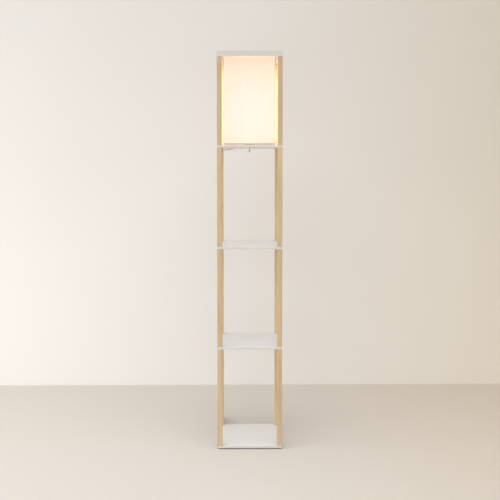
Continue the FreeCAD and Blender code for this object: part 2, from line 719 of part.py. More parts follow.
def make_holder():
    inner = cap_radius - cap_wall
    seat = cap_height - shell_sunk
    bore = nipple_radius + fit_gap
    ledge = inner - cap_ledge
    cup = turned(
        None,
        [
            (bore, 0),
            (cap_radius, 0),
            (cap_radius, cap_height),
            (inner, cap_height),
            (inner, seat),
            (ledge, seat),
            (ledge, cap_floor),
            (bore, cap_floor),
        ],
        0,
        0,
        cap_level,
    )
    lean = Rotation(Vector(0, 0, 1), bush_angle) * Rotation(Vector(0, 1, 0), 90)
    drill_x, drill_y = outward(ledge - bush_inside * 2, bush_angle)
    way_out = cylinder(bush_radius + fit_gap, cap_radius, drill_x, drill_y, bush_level, lean)
    name_part(cut(cup, [way_out, front_slot()]), "holder_cap")

    bush_x, bush_y = outward(ledge - bush_inside, bush_angle)
    bush_length = cap_radius - ledge + bush_inside + bush_reach
    bush = cylinder(bush_radius, bush_length, bush_x, bush_y, bush_level, lean)
    bush_bore = cylinder(lead_radius + lead_play, bush_length, bush_x, bush_y, bush_level, lean)
    name_part(cut(bush, [bush_bore]), "lead_bush")

    shell_outline = sleeve(shell_radius, shell_radius - shell_wall, shell_height)
    shell = turned(None, shell_outline, 0, 0, shell_level)
    name_part(cut(shell, [front_slot()]), "holder_shell")

    body = cylinder(switch_radius, switch_height, 0, 0, switch_level)
    slot_back = lever_boss_radius + lever_slot_play
    slot_depth = switch_radius
    slot_sides = (slot_width, slot_depth, slot_top - slot_foot)
    slot = box(slot_sides, -slot_width / 2, slot_back - lever_pivot_y - slot_depth, slot_foot)
    across = Rotation(Vector(0, 1, 0), 90)
    pin_spot = (-pin_length / 2, -lever_pivot_y, lever_level)
    pin_hole = cylinder(pin_radius + fit_gap, pin_length, *pin_spot, across)
    name_part(cut(body, [slot, pin_hole]), "switch_body")
    name_part(cylinder(pin_radius, pin_length, *pin_spot, across), "lever_pin")

    liner_radius = shell_radius - shell_wall - holder_play
    liner_level = switch_top + holder_play
    liner_height = shell_level + shell_height - liner_level
    turned("holder_liner", sleeve(liner_radius, liner_radius - liner_wall, liner_height), 0, 0, liner_level)
    turned(
        "screw_shell",
        sleeve(screw_shell_radius, screw_shell_radius - screw_shell_wall, screw_shell_height),
        0,
        0,
        switch_top,
    )
    name_part(cylinder(contact_radius, contact_height, 0, 0, switch_top), "centre_contact")


# The pull switch's lever, chain and bell.

chain_y = -(lever_pivot_y + lever_reach)
first_bead_level = lever_eye_height / 2 + bead_radius + bead_drop
chain_tail = first_bead_level + bead_pitch * (bead_count - 1) + bead_radius + tail_length


def make_lever():
    across = Rotation(Vector(0, 1, 0), 90)
    half_width = lever_width / 2
    pivot = (-half_width, -lever_pivot_y, lever_level)
    boss = cylinder(lever_boss_radius, lever_width, *pivot, across)
    arm_sides = (lever_width, lever_reach - lever_eye_radius / 2, lever_depth)
    arm_foot = lever_level - lever_depth / 2
    arm = box(arm_sides, -half_width, chain_y + lever_eye_radius / 2, arm_foot)
    eye_foot = lever_level - lever_eye_height / 2
    eye = cylinder(lever_eye_radius, lever_eye_height, 0, chain_y, eye_foot)
    pin_bore = cylinder(pin_radius + pin_play, lever_width, *pivot, across)
    tip_level = lever_level + lever_eye_height / 2
    tip_above = cylinder(bead_radius + tip_play, lever_depth * 2, 0, chain_y, tip_level)
    tip_foot = lever_level - lever_eye_height / 2 - lever_depth * 2
    tip_below = cylinder(bead_radius + tip_play, lever_depth * 2, 0, chain_y, tip_foot)
    eye_bore = cylinder(lever_eye_bore, lever_eye_height, 0, chain_y, eye_foot)
    solid = fuse([boss, arm, eye])
    name_part(cut(solid, [pin_bore, eye_bore, tip_above, tip_below]), "pull_lever")


def make_chain():
    """One outline turned once: a bead over the eye, then the beads below it."""
    wire, ball = link_radius.value, bead_radius.value
    shoulder = math.sqrt(ball**2 - wire**2)
    drops = [-(lever_eye_height / 2 + bead_radius + bead_lift).value]
    drops += [(first_bead_level + bead_pitch * i).value for i in range(bead_count)]
    top = Vector(0, 0, ball - drops[0])
    last = top
    edges = []
    for drop in drops:
        waist = Vector(ball, 0, -drop)
        above, below = Vector(wire, 0, shoulder - drop), Vector(wire, 0, -shoulder - drop)
        if edges:
            edges.append(Part.LineSegment(last, above).toShape())
            last = above
        edges.append(Part.Arc(last, waist, below).toShape())
        last = below
    foot = -chain_tail.value
    for corner in (Vector(wire, 0, foot), Vector(0, 0, foot), top):
        edges.append(Part.LineSegment(last, corner).toShape())
        last = corner
    face = Part.Face(Part.Wire(edges))
    chain = doc.addObject("Part::Feature", "Chain")
    chain.Shape = face.revolve(Vector(0, 0, 0), Vector(0, 0, 1), 360)
    name_part(place(chain, 0, chain_y, lever_level), "pull_chain")


def make_bell():
    outline = [
        (0, 0),
        (bell_foot_radius, 0),
        (bell_radius, bell_lip_height),
        (bell_neck_radius, bell_neck_height),
        (bell_top_radius, bell_length),
        (0, bell_length),
    ]
    turned("chain_bell", outline, 0, chain_y, lever_level - chain_tail - bell_length)


# The bulb.


def make_bulb():
    centre_level = bulb_level + bulb_length - globe_radius
    cut_level = centre_level - globe_radius * round(math.sin(math.radians(globe_cut_angle)), 6)
    cut_radius = globe_radius * round(math.cos(math.radians(globe_cut_angle)), 6)
    name_part(cylinder(bulb_contact_radius, bulb_contact_height, 0, 0, bulb_level), "bulb_contact")
    cap_foot = bulb_level + bulb_contact_height
    name_part(cylinder(bulb_cap_radius, bulb_cap_height, 0, 0, cap_foot), "bulb_cap")
    neck_level = cap_foot + bulb_cap_height
    rise = cut_level - neck_level
    outline = [
        (0, 0),
        (bulb_neck_radius, 0),
        (bulb_collar_radius, bulb_collar_height),
        (cut_radius, rise),
        (0, rise),
    ]
    turned("bulb_housing", outline, 0, 0, neck_level)

    def dome(radius, low_angle):
        ball = doc.addObject("Part::Sphere", "Dome")
        bind(ball, "Radius", radius)
        ball.Angle1 = low_angle
        ball.Angle2 = 90
        return place(ball, 0, 0, centre_level)

    hollow = dome(globe_radius - globe_wall, -globe_hollow_angle)
    name_part(cut(dome(globe_radius, -globe_cut_angle), [hollow]), "bulb_globe")
    plate_radius = cut_radius - globe_wall - led_plate_gap
    name_part(cylinder(plate_radius, led_plate_height, 0, 0, cut_level), "emitter_plate")


# The mains lead and what is on it.

rear_face = half_board
lead_rear = rear_face + lead_standoff
lead_x = -lead_left
far_x = lead_x - coil_pitch
coil_outer_radius = coil_inner_radius + coil_pitch * (coil_turns / 2)
coil_y = rear_face + coil_near + coil_outer_radius
plug_level = plug_thickness / 2 + floor_gap
coil_z = plug_level + coil_outer_radius
rim_lead_level = lamp_frame_level - lead_standoff
arc_share = 0.45


def arc_edge(start, corner, end):
    """The arc that leaves start towards corner and arrives at end from it."""
    middle = (start + end) / 2
    half_chord = (end - start).Length / 2
    height = (corner - middle).Length
    if height < 1e-7:
        return Part.LineSegment(start, end)
    tangent = (corner - start).Length
    radius = tangent * half_chord / height
    sagitta = radius * (1 - half_chord / tangent)
    return Part.Arc(start, middle + (corner - middle) * (sagitta / height), end)


def routed_wire(points):
    """Straight runs joined by arcs as large as their two runs allow, and their radii."""
    edges, radii = [], []
    here = points[0]
    for before, corner, after in zip(points, points[1:], points[2:]):
        inward, outward_run = corner - before, after - corner
        reach = arc_share * min(inward.Length, outward_run.Length)
        turn = inward.getAngle(outward_run)
        radii.append(reach / math.tan(turn / 2))
        start = corner - inward.normalize() * reach
        end = corner + outward_run.normalize() * reach
        edges.append(Part.LineSegment(here, start).toShape())
        edges.append(arc_edge(start, corner, end).toShape())
        here = end
    edges.append(Part.LineSegment(here, points[-1]).toShape())
    return Part.Wire(edges), radii


def swept_tube(path, radius):
    start = path.Edges[0].valueAt(path.Edges[0].FirstParameter)
    direction = path.Edges[0].tangentAt(path.Edges[0].FirstParameter)
    ring = Part.Wire([Part.Circle(start, direction, radius).toShape()])
    shell = Part.BRepOffsetAPI.MakePipeShell(path)
    shell.add(ring)
    shell.build()
    shell.makeSolid()
    return shell.shape()


def report_tube(name, solid, path, radius, radii):
    expected = math.pi * radius**2 * path.Length
    print(f"{name}: length {path.Length:.0f} mm, volume ratio {solid.Volume / expected:.4f}")
    print(f"{name}: least radius {min(radii):.1f} mm, radii", [round(r) for r in radii])


def lead_points():
    """From the holder's bush under the lamp frame to the rear, then down behind the leg."""
    level = bush_level.value
    mouth = cap_radius.value + bush_reach.value
    angle = math.radians(bush_angle)
    start = Vector(math.cos(angle), math.sin(angle), 0)
    rim = rim_lead_level.value
    back = lead_rear.value
    x = lead_x.value
    top = coil_z.value + lead_radius.value * 2
    coil_side = rear_face.value + coil_near.value
    return [
        start * (cap_radius.value - cap_wall.value - 5) + Vector(0, 0, level),
        start * (mouth + 6) + Vector(0, 0, level),
        start * (mouth + 19) + Vector(-1, 0, level - 7),
        start * (mouth + 28) + Vector(-4, 0, level - 20),
        Vector(-40, 62, rim - 6),
        Vector(-54, 77, rim - 6),
        Vector(-70, 93.5, rim - 1.5),
        Vector(-86, 112, rim + 0.2),
        Vector(-103, back, rim - 1),
        Vector(-114, back + 11, rim - 10),
        Vector(-118.5, back + 18, rim - 29),
        Vector(-120, back + 16, rim - 54),
        Vector(x, back + 6, rim - 88),
        Vector(x, back, rim - 135),
        Vector(x, back, top + 110),
        Vector(x, coil_side, top + 40),
        Vector(x, coil_side, top),
    ]


def coil_point(angle):
    """The coil's axis after that angle: it winds in, climbs a layer, and winds out."""
    middle = math.pi * coil_turns
    radius = coil_inner_radius.value + coil_pitch.value * abs(angle - middle) / (2 * math.pi)
    share = min(max((angle - middle) / math.pi + 0.5, 0), 1)
    climb = (1 - math.cos(math.pi * share)) / 2
    x = lead_x.value + (far_x.value - lead_x.value) * climb
    return Vector(x, coil_y.value - radius * math.cos(angle), coil_z.value - radius * math.sin(angle))


def coil_wire():
    """Two arcs for each quarter turn, and a straight end of one diameter at each side."""
    quarters = round(coil_turns * 4)
    small = 1e-4
    knots, headings = [], []
    for i in range(quarters + 1):
        angle = i * math.pi / 2
        knots.append(coil_point(angle))
        headings.append((coil_point(angle + small) - coil_point(angle - small)).normalize())
    headings[0] = Vector(0, 0, -1)
    headings[-1] = Vector(0, 1, 0)
    end_length = lead_radius.value * 2
    edges = [Part.LineSegment(knots[0] - headings[0] * end_length, knots[0]).toShape()]
    radii = []
    for start, heading, end, next_heading in zip(knots, headings, knots[1:], headings[1:]):
        across = end - start
        both = heading + next_heading
        spread = 2 * (1 - heading.dot(next_heading))
        along = across.dot(both)
        reach = (math.sqrt(along**2 + spread * across.dot(across)) - along) / spread
        first_corner = start + heading * reach
        second_corner = end - next_heading * reach
        joint = (first_corner + second_corner) / 2
        for arc in (arc_edge(start, first_corner, joint), arc_edge(joint, second_corner, end)):
            edges.append(arc.toShape())
            radii.append(edges[-1].Curve.Radius)
    edges.append(Part.LineSegment(knots[-1], knots[-1] + headings[-1] * end_length).toShape())
    return Part.Wire(edges), radii


def least_gap(wire, radius, step=2.0):
    """The least free distance between parts of a tube that aren't neighbours along it."""
    points = wire.discretize(Distance=step)
    apart = math.ceil(radius * 8 / step)
    best = math.inf
    for i, point in enumerate(points):
        for other in points[i + apart:]:
            best = min(best, (point - other).Length)
    return best - 2 * radius


def make_lead():
    wire, radii = routed_wire(lead_points())
    lead = doc.addObject("Part::Feature", "Lead")
    lead.Shape = swept_tube(wire, lead_radius.value)
    report_tube("mains_lead", lead.Shape, wire, lead_radius.value, radii)
    name_part(place(lead), "mains_lead")
    wire, radii = coil_wire()
    coil = doc.addObject("Part::Feature", "Coil")
    coil.Shape = swept_tube(wire, lead_radius.value)
    report_tube("lead_coil", coil.Shape, wire, lead_radius.value, radii)
    print(f"lead_coil: least gap to itself {least_gap(wire, lead_radius.value):.2f} mm")
    name_part(place(coil), "lead_coil")


def saddle(turn, x, y, z):
    """A stick-on clip: its seat is the plane Y = 0 before it is turned, its lead runs along Z."""
    hold_width = lead_radius + lead_play
    body = box((lead_clip_width, lead_clip_depth, lead_clip_height), -lead_clip_width / 2, 0, 0)
    bore = cylinder(hold_width, lead_clip_height, 0, lead_standoff, 0)
    mouth = box((hold_width * 2, lead_standoff, lead_clip_height), -hold_width, 0, 0)
    return place(cut(body, [bore, mouth]), x, y, z, turn)


def make_clips():
    clips = []
    for i in range(lead_clip_count):
        level = lead_clip_first + lead_clip_pitch * i
        clips.append(saddle(Rotation(), lead_x, rear_face, level))
    # the clip under the lamp frame holds the route's eighth point
    before, held, after = lead_points()[6:9]
    along = after - before
    along = Vector(along.x, along.y, 0).normalize()
    down = Rotation(Vector(along.y, -along.x, 0), Vector(0, 0, -1), along, "ZYX")
    start = held - along * (lead_clip_height.value / 2)
    clips.append(saddle(down, start.x, start.y, lamp_frame_level))
    name_part(group(clips), "lead_clips")


def make_tie():
    """A band around the coil's turns behind the leg, in a mount stuck to the leg."""
    mount_depth = coil_near - lead_radius - tie_mount_gap
    bar_near = rear_face + mount_depth - tie_sheet * 2
    bundle_far = coil_y - coil_inner_radius + lead_radius + tie_end_play
    middle_x = (lead_x + far_x) / 2
    inner_width = coil_pitch + (lead_radius + tie_side_play) * 2
    foot = coil_z - tie_width / 2
    inner_depth = bundle_far - bar_near - tie_sheet
    outer_sides = (inner_width + tie_sheet * 2, inner_depth + tie_sheet * 2, tie_width)
    inner_sides = (inner_width, inner_depth, tie_width)
    outside = box(outer_sides, middle_x - outer_sides[0] / 2, bar_near, foot)
    inside = box(inner_sides, middle_x - inner_width / 2, bar_near + tie_sheet, foot)
    band = cut(outside, [inside])
    mount_width = tie_mount_width / 2
    mount_foot = coil_z - tie_mount_width / 2
    mount_sides = (mount_width, mount_depth, tie_mount_width)
    mount = box(mount_sides, middle_x - mount_width / 2, rear_face, mount_foot)
    slot_sides = (mount_width, tie_sheet + tie_slot_play * 2, tie_width + tie_slot_play * 2)
    slot = box(slot_sides, middle_x - mount_width / 2, bar_near - tie_slot_play, foot - tie_slot_play)
    name_part(group([band, cut(mount, [slot])]), "coil_tie")


def make_plug():
    along_y = Rotation(Vector(1, 0, 0), -90)
    start = coil_y + lead_radius * 2
    relief = doc.addObject("Part::Cone", "Relief")
    bind(relief, "Radius1", lead_radius + plug_relief_wall)
    bind(relief, "Radius2", plug_relief_radius)
    bind(relief, "Height", plug_relief_length)
    place(relief, far_x, start, plug_level, along_y)

    body = new_body()
    sketch = new_sketch(body, "XY_Plane")
    add_rectangle(sketch, plug_width, plug_thickness)
    bar = pad(body, sketch, plug_length)
    round_edges(body, bar, plug_edge, stands_upright)
    place(body, far_x, start + plug_relief_length, plug_level, along_y)
    face = start + plug_relief_length + plug_length
    name_part(fuse([relief, body]), "plug_body")

    blades = []
    for side in (-1, 1):
        sides = (blade_thickness, blade_length, blade_width)
        x = far_x + blade_spacing / 2 * side - blade_thickness / 2
        blades.append(box(sides, x, face, plug_level - blade_width / 2))
    name_part(group(blades), "plug_blades")


def check_document():
    for item in doc.Objects:
        if "Invalid" in item.State or "Error" in item.State:
            raise RuntimeError(f"{item.Name} ({item.Label}) failed: {item.State}")
    for label, item in sub_parts.items():
        shape = item.Shape
        if shape.isNull() or not shape.isValid() or not shape.Solids:
            raise RuntimeError(f"{label} has no valid solid")


make_boards()
make_feet()
make_posts()
make_frame_fasteners()
make_top()
make_shade()
make_strap()
make_holder()
make_lever()
make_chain()
make_bell()
make_bulb()
make_lead()
make_clips()
make_tie()
make_plug()
doc.recompute()
check_document()
for label, item in sub_parts.items():
    item.Shape.exportStep(f"parts/{label}.step")
total_height = (top_rail_level + top_rail_height).value
print(f"{len(sub_parts)} sub-parts, {total_height:.0f} mm tall")
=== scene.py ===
import json
import math

import bmesh
import bpy
from mathutils import Matrix, Vector


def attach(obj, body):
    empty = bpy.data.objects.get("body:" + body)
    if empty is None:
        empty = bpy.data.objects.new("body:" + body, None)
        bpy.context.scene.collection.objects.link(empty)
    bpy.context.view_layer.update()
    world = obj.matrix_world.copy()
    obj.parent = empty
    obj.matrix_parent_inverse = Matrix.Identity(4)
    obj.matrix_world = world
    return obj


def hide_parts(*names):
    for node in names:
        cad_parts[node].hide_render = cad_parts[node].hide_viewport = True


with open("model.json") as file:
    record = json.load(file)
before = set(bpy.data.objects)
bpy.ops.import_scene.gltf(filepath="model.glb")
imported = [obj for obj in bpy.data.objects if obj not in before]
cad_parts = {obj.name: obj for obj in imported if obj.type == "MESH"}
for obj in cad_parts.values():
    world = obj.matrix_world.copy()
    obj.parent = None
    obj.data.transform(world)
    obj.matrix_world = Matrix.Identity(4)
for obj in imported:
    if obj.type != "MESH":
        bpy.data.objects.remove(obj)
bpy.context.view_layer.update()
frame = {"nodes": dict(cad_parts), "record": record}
scene = bpy.context.scene
nodes = frame["nodes"]


# Small helpers for node trees and for meshes.

def addNode(tree, kind, at, settings=None, inputs=None):
    made = tree.nodes.new(kind)
    made.location = at
    for key, value in (settings or {}).items():
        setattr(made, key, value)
    for key, value in (inputs or {}).items():
        made.inputs[key].default_value = value
    return made


def feed(tree, socket, value):
    # a socket is linked, and a plain value is typed in
    if isinstance(value, bpy.types.NodeSocket):
        tree.links.new(value, socket)
    elif hasattr(value, "__len__") and len(value) == 3 and socket.type == "RGBA":
        socket.default_value = (*value, 1)
    else:
        socket.default_value = value


def addMath(tree, operation, at, first, second=0.0, clamp=False):
    made = addNode(tree, "ShaderNodeMath", at, {"operation": operation, "use_clamp": clamp})
    feed(tree, made.inputs[0], first)
    feed(tree, made.inputs[1], second)
    return made.outputs[0]


def addRamp(tree, at, source, stops):
    made = addNode(tree, "ShaderNodeValToRGB", at)
    ramp = made.color_ramp
    while len(ramp.elements) < len(stops):
        ramp.elements.new(0.5)
    for element, (spot, colour) in zip(ramp.elements, stops):
        element.position = spot
        element.color = (*colour, 1)
    tree.links.new(source, made.inputs["Fac"])
    return made.outputs["Color"]


def addMix(tree, at, share, first, second, blend="MIX"):
    made = addNode(tree, "ShaderNodeMix", at, {"data_type": "RGBA", "blend_type": blend})
    for index, value in ((0, share), (6, first), (7, second)):
        feed(tree, made.inputs[index], value)
    return made.outputs[2]


def addNoise(tree, at, vector, scale, detail=2.0, roughness=0.5, distortion=0.0, seed=None):
    made = addNode(
        tree, "ShaderNodeTexNoise", at, {"noise_dimensions": "3D" if seed is None else "4D"},
        {"Detail": detail, "Roughness": roughness, "Distortion": distortion},
    )
    feed(tree, made.inputs["Vector"], vector)
    feed(tree, made.inputs["Scale"], scale)
    if seed is not None:
        feed(tree, made.inputs["W"], seed)
    return made.outputs["Fac"]


def addMapping(tree, at, vector, scale):
    made = addNode(tree, "ShaderNodeMapping", at, None, {"Scale": scale})
    feed(tree, made.inputs["Vector"], vector)
    return made.outputs["Vector"]


def objectSpot(tree, at):
    return addNode(tree, "ShaderNodeTexCoord", at).outputs["Object"]


def newGroup(name, inputs, outputs):
    group = bpy.data.node_groups.new(name, "ShaderNodeTree")
    for label, kind, value in inputs:
        socket = group.interface.new_socket(label, in_out="INPUT", socket_type=kind)
        socket.default_value = value
    for label, kind in outputs:
        group.interface.new_socket(label, in_out="OUTPUT", socket_type=kind)
    start = addNode(group, "NodeGroupInput", (-1600, 0)).outputs
    end = addNode(group, "NodeGroupOutput", (600, 0)).inputs
    return group, start, end


def setFixed(shader, values):
    for label, value in values.items():
        shader.inputs[label].default_value = value


def dressWith(name, group, values, bump, bumpDepth, fixed):
    # one material: a finish group placed in it with its own values, a bump and the shader's fixed numbers
    material = bpy.data.materials.new(name)
    material.use_nodes = True
    tree = material.node_tree
    shader = tree.nodes["Principled BSDF"]
    finish = addNode(tree, "ShaderNodeGroup", (-500, 0), {"node_tree": group})
    for label, value in values.items():
        feed(tree, finish.inputs[label], value)
    tree.links.new(finish.outputs["Color"], shader.inputs["Base Color"])
    tree.links.new(finish.outputs["Roughness"], shader.inputs["Roughness"])
    relief = addNode(tree, "ShaderNodeBump", (-250, -300), None, {"Strength": bump, "Distance": bumpDepth})
    tree.links.new(finish.outputs["Height"], relief.inputs["Height"])
    tree.links.new(relief.outputs["Normal"], shader.inputs["Normal"])
    setFixed(shader, fixed)
    return material


def addPiece(name, bm, material, body, smooth=True):
    mesh = bpy.data.meshes.new(name)
    bm.to_mesh(mesh)
    bm.free()
    mesh.materials.append(material)
    for face in mesh.polygons:
        face.use_smooth = smooth
    piece = bpy.data.objects.new(name, mesh)
    scene.collection.objects.link(piece)
    if body:
        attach(piece, body)
    return piece


def addSolidify(piece, thickness):
    # the wall grows inwards from the mesh
    wall = piece.modifiers.new("wall", "SOLIDIFY")
    wall.thickness = thickness
    wall.offset = -1
    wall.use_even_offset = True


def only(kind, made):
    return [item for item in made if isinstance(item, kind)]


def edgesOf(verts):
    return list(dict.fromkeys(edge for vert in verts for edge in vert.link_edges))


def longEdges(bm, axis, length):
    # the edges that run along an axis for more than half of a length
    return [edge for edge in bm.edges if abs(edge.verts[0].co[axis] - edge.verts[1].co[axis]) > length / 2]


def mergeInto(whole, part):
    mesh = bpy.data.meshes.new("part")
    part.to_mesh(mesh)
    part.free()
    whole.from_mesh(mesh)
    bpy.data.meshes.remove(mesh)


# Finish groups, each shared by several materials.

outputsOfFinish = [
    ("Color", "NodeSocketColor"), ("Roughness", "NodeSocketFloat"), ("Height", "NodeSocketFloat"),
]


wood = {
    "firstJoint": 0.0085, "stickLength": 0.404, "seedStep": 3.7, "rearPaintedLight": (1.16, 1.19, 1.26),
    # how much each noise is drawn out along the leg, then its scale, detail, roughness and distortion
    "rings": (0.05, 95, 3, 0.5, 0.5), "pores": (0.022, 780, 2, 0.6, 0.0),
    "veins": (0.06, 210, 4, 0.6, 0.9), "tone": (0.25, 22, 1, 0.5, 0.0),
    "ringShare": 0.75, "poreShare": 0.3, "toneShare": 0.5, "poreRoughness": 0.16, "veinDepth": 0.5,
    "darkStops": [(0.52, (0, 0, 0)), (1.0, (1, 1, 1))],
    "veinStops": [(0.56, (0, 0, 0)), (0.74, (0.62, 0.62, 0.62))],
}


def makeWoodGrain():
    group, start, end = newGroup(
        "woodGrain",
        [("Light", "NodeSocketColor", (0.6, 0.4, 0.22, 1)), ("Dark", "NodeSocketColor", (0.4, 0.24, 0.11, 1)),
         ("Streak", "NodeSocketColor", (0.3, 0.17, 0.07, 1)), ("Gloss", "NodeSocketFloat", 0.4)],
        outputsOfFinish,
    )
    spot = objectSpot(group, (-1600, 300))
    split = addNode(group, "ShaderNodeSeparateXYZ", (-1400, 500))
    feed(group, split.inputs[0], spot)
    # every length of leg is another stick of wood
    above = addMath(group, "SUBTRACT", (-1250, 500), split.outputs["Z"], wood["firstJoint"])
    sticks = addMath(group, "DIVIDE", (-1180, 420), above, wood["stickLength"])
    stick = addMath(group, "FLOOR", (-1100, 500), sticks)
    seed = addMath(group, "MULTIPLY", (-1000, 500), stick, wood["seedStep"])
    noises = []
    for name, row in (("rings", 400), ("pores", 150), ("veins", -100), ("tone", -350)):
        drawn, *settings = wood[name]
        along = addMapping(group, (-1100, row), spot, (1, 1, drawn))
        noises.append(addNoise(group, (-900, row), along, *settings, seed))
    rings, pores, veins, tone = noises
    ringed = addMath(group, "MULTIPLY", (-780, 400), rings, wood["ringShare"])
    pored = addMath(group, "MULTIPLY", (-780, 250), pores, wood["poreShare"])
    toned = addMath(group, "MULTIPLY", (-780, -350), tone, wood["toneShare"])
    mixed = addMath(group, "ADD", (-600, 300), addMath(group, "ADD", (-700, 350), ringed, pored), toned)
    share = addRamp(group, (-450, 300), mixed, wood["darkStops"])
    colour = addMix(group, (-150, 300), share, start["Light"], start["Dark"])
    # the rear legs are painted paler than the front ones: painted light, as if more light fell on them
    rear = addMath(group, "GREATER_THAN", (-300, 500), split.outputs["Y"], 0.0)
    paintedPaler = addMix(group, (-100, 500), 1.0, colour, wood["rearPaintedLight"], "MULTIPLY")
    colour = addMix(group, (0, 450), rear, colour, paintedPaler)
    vein = addRamp(group, (-650, -100), veins, wood["veinStops"])
    feed(group, end["Color"], addMix(group, (100, 200), vein, colour, start["Streak"]))
    dull = addMath(group, "MULTIPLY", (-50, -200), pores, wood["poreRoughness"])
    feed(group, end["Roughness"], addMath(group, "ADD", (100, -100), start["Gloss"], dull))
    sunk = addMath(group, "MULTIPLY", (150, -400), vein, wood["veinDepth"])
    feed(group, end["Height"], addMath(group, "SUBTRACT", (300, -300), pores, sunk))
    return group


film = {
    "cloudStops": [(0.35, (0, 0, 0)), (0.75, (1, 1, 1))],
    "speckStops": [(0.60, (0, 0, 0)), (0.78, (0.7, 0.7, 0.7))],
    "dustRoughness": 0.14,
}


def makeSmoothFilm():
    # lacquer, powder coat and moulded plastic: a soft skin with a little dust and uneven gloss
    group, start, end = newGroup(
        "smoothFilm",
        [("Color", "NodeSocketColor", (0.8, 0.8, 0.8, 1)), ("Soil", "NodeSocketColor", (0.6, 0.58, 0.54, 1)),
         ("Amount", "NodeSocketFloat", 0.3), ("Gloss", "NodeSocketFloat", 0.35),
         ("Peel", "NodeSocketFloat", 500.0)],
        outputsOfFinish,
    )
    spot = objectSpot(group, (-1400, 300))
    cloud = addNoise(group, (-1000, 300), spot, scale=11, detail=3, roughness=0.55, distortion=0.3)
    speck = addNoise(group, (-1000, 50), spot, scale=160, detail=4, roughness=0.7)
    peel = addNoise(group, (-1000, -200), spot, start["Peel"], detail=1, roughness=0.4)
    soft = addRamp(group, (-750, 300), cloud, film["cloudStops"])
    specks = addRamp(group, (-750, 50), speck, film["speckStops"])
    soiled = addMath(group, "ADD", (-550, 200), soft, specks)
    dirt = addMath(group, "MULTIPLY", (-400, 200), soiled, start["Amount"], clamp=True)
    feed(group, end["Color"], addMix(group, (-100, 200), dirt, start["Color"], start["Soil"]))
    dusty = addMath(group, "MULTIPLY", (-300, -50), speck, film["dustRoughness"])
    feed(group, end["Roughness"], addMath(group, "ADD", (-100, -50), start["Gloss"], dusty))
    feed(group, end["Height"], peel)
    return group


metal = {
    "drawn": 0.08, "dullStops": [(0.45, (0, 0, 0)), (0.72, (0.75, 0.75, 0.75))],
    "lineRoughness": 0.2, "dullRoughness": 0.25,
}


def makeMetalFilm():
    # drawn or plated metal: fine lines, and dull patches where it has tarnished
    group, start, end = newGroup(
        "metalFilm",
        [("Color", "NodeSocketColor", (0.6, 0.6, 0.6, 1)), ("Tarnish", "NodeSocketColor", (0.3, 0.3, 0.3, 1)),
         ("Gloss", "NodeSocketFloat", 0.22), ("Lines", "NodeSocketFloat", 900.0)],
        outputsOfFinish,
    )
    spot = objectSpot(group, (-1400, 300))
    drawn = addMapping(group, (-1200, 300), spot, (1, 1, metal["drawn"]))
    lines = addNoise(group, (-1000, 300), drawn, start["Lines"], detail=2, roughness=0.6)
    patch = addNoise(group, (-1000, 0), spot, scale=130, detail=4, roughness=0.65, distortion=0.4)
    dull = addRamp(group, (-750, 0), patch, metal["dullStops"])
    feed(group, end["Color"], addMix(group, (-300, 100), dull, start["Color"], start["Tarnish"]))
    lined = addMath(group, "MULTIPLY", (-600, -200), lines, metal["lineRoughness"])
    dulled = addMath(group, "MULTIPLY", (-450, -350), dull, metal["dullRoughness"])
    rough = addMath(group, "ADD", (-450, -200), start["Gloss"], lined)
    feed(group, end["Roughness"], addMath(group, "ADD", (-300, -200), rough, dulled))
    feed(group, end["Height"], lines)
    return group


# thick and thin places in the threads are drawn out along the weft and up the warp
cloth = {"pitch": 0.0007, "slubs": [((0.04, 0.04, 1), 700), ((1, 1, 0.03), 520)]}


def makeWeave():
    # plain weave on upright walls: warp counts along the wall, weft counts up it
    group, start, end = newGroup(
        "plainWeave",
        [("Pitch", "NodeSocketFloat", cloth["pitch"])],
        [("Thread", "NodeSocketFloat"), ("Slub", "NodeSocketFloat"), ("Height", "NodeSocketFloat")],
    )
    spot = objectSpot(group, (-1600, 300))
    split = addNode(group, "ShaderNodeSeparateXYZ", (-1400, 300))
    feed(group, split.inputs[0], spot)
    along = addMath(group, "ADD", (-1250, 400), split.outputs["X"], split.outputs["Y"])
    count = addMath(group, "DIVIDE", (-1400, 50), math.pi, start["Pitch"])
    warp = addMath(group, "SINE", (-950, 400), addMath(group, "MULTIPLY", (-1100, 400), along, count))
    rows = addMath(group, "MULTIPLY", (-1100, 200), split.outputs["Z"], count)
    weft = addMath(group, "SINE", (-950, 200), rows)
    crossing = addMath(group, "MULTIPLY", (-800, 300), warp, weft)
    over = addMath(group, "GREATER_THAN", (-650, 300), crossing, 0.0)
    warpUp = addMath(group, "MULTIPLY", (-500, 400), addMath(group, "ABSOLUTE", (-650, 450), warp), over)
    under = addMath(group, "SUBTRACT", (-500, 200), 1.0, over)
    weftUp = addMath(group, "MULTIPLY", (-350, 200), addMath(group, "ABSOLUTE", (-650, 150), weft), under)
    height = addMath(group, "ADD", (-150, 300), warpUp, weftUp)
    slubs = []
    for row, (stretch, scale) in zip((-100, -350), cloth["slubs"]):
        drawn = addMapping(group, (-900, row), spot, stretch)
        slubs.append(addNoise(group, (-650, row), drawn, scale, detail=2, roughness=0.6))
    slub = addMath(group, "MULTIPLY", (-300, -200), addMath(group, "ADD", (-450, -200), *slubs), 0.5)
    feed(group, end["Thread"], height)
    feed(group, end["Slub"], slub)
    feed(group, end["Height"], addMath(group, "ADD", (50, 200), height, slub))
    return group


woodGrain = makeWoodGrain()
smoothFilm = makeSmoothFilm()
metalFilm = makeMetalFilm()
plainWeave = makeWeave()

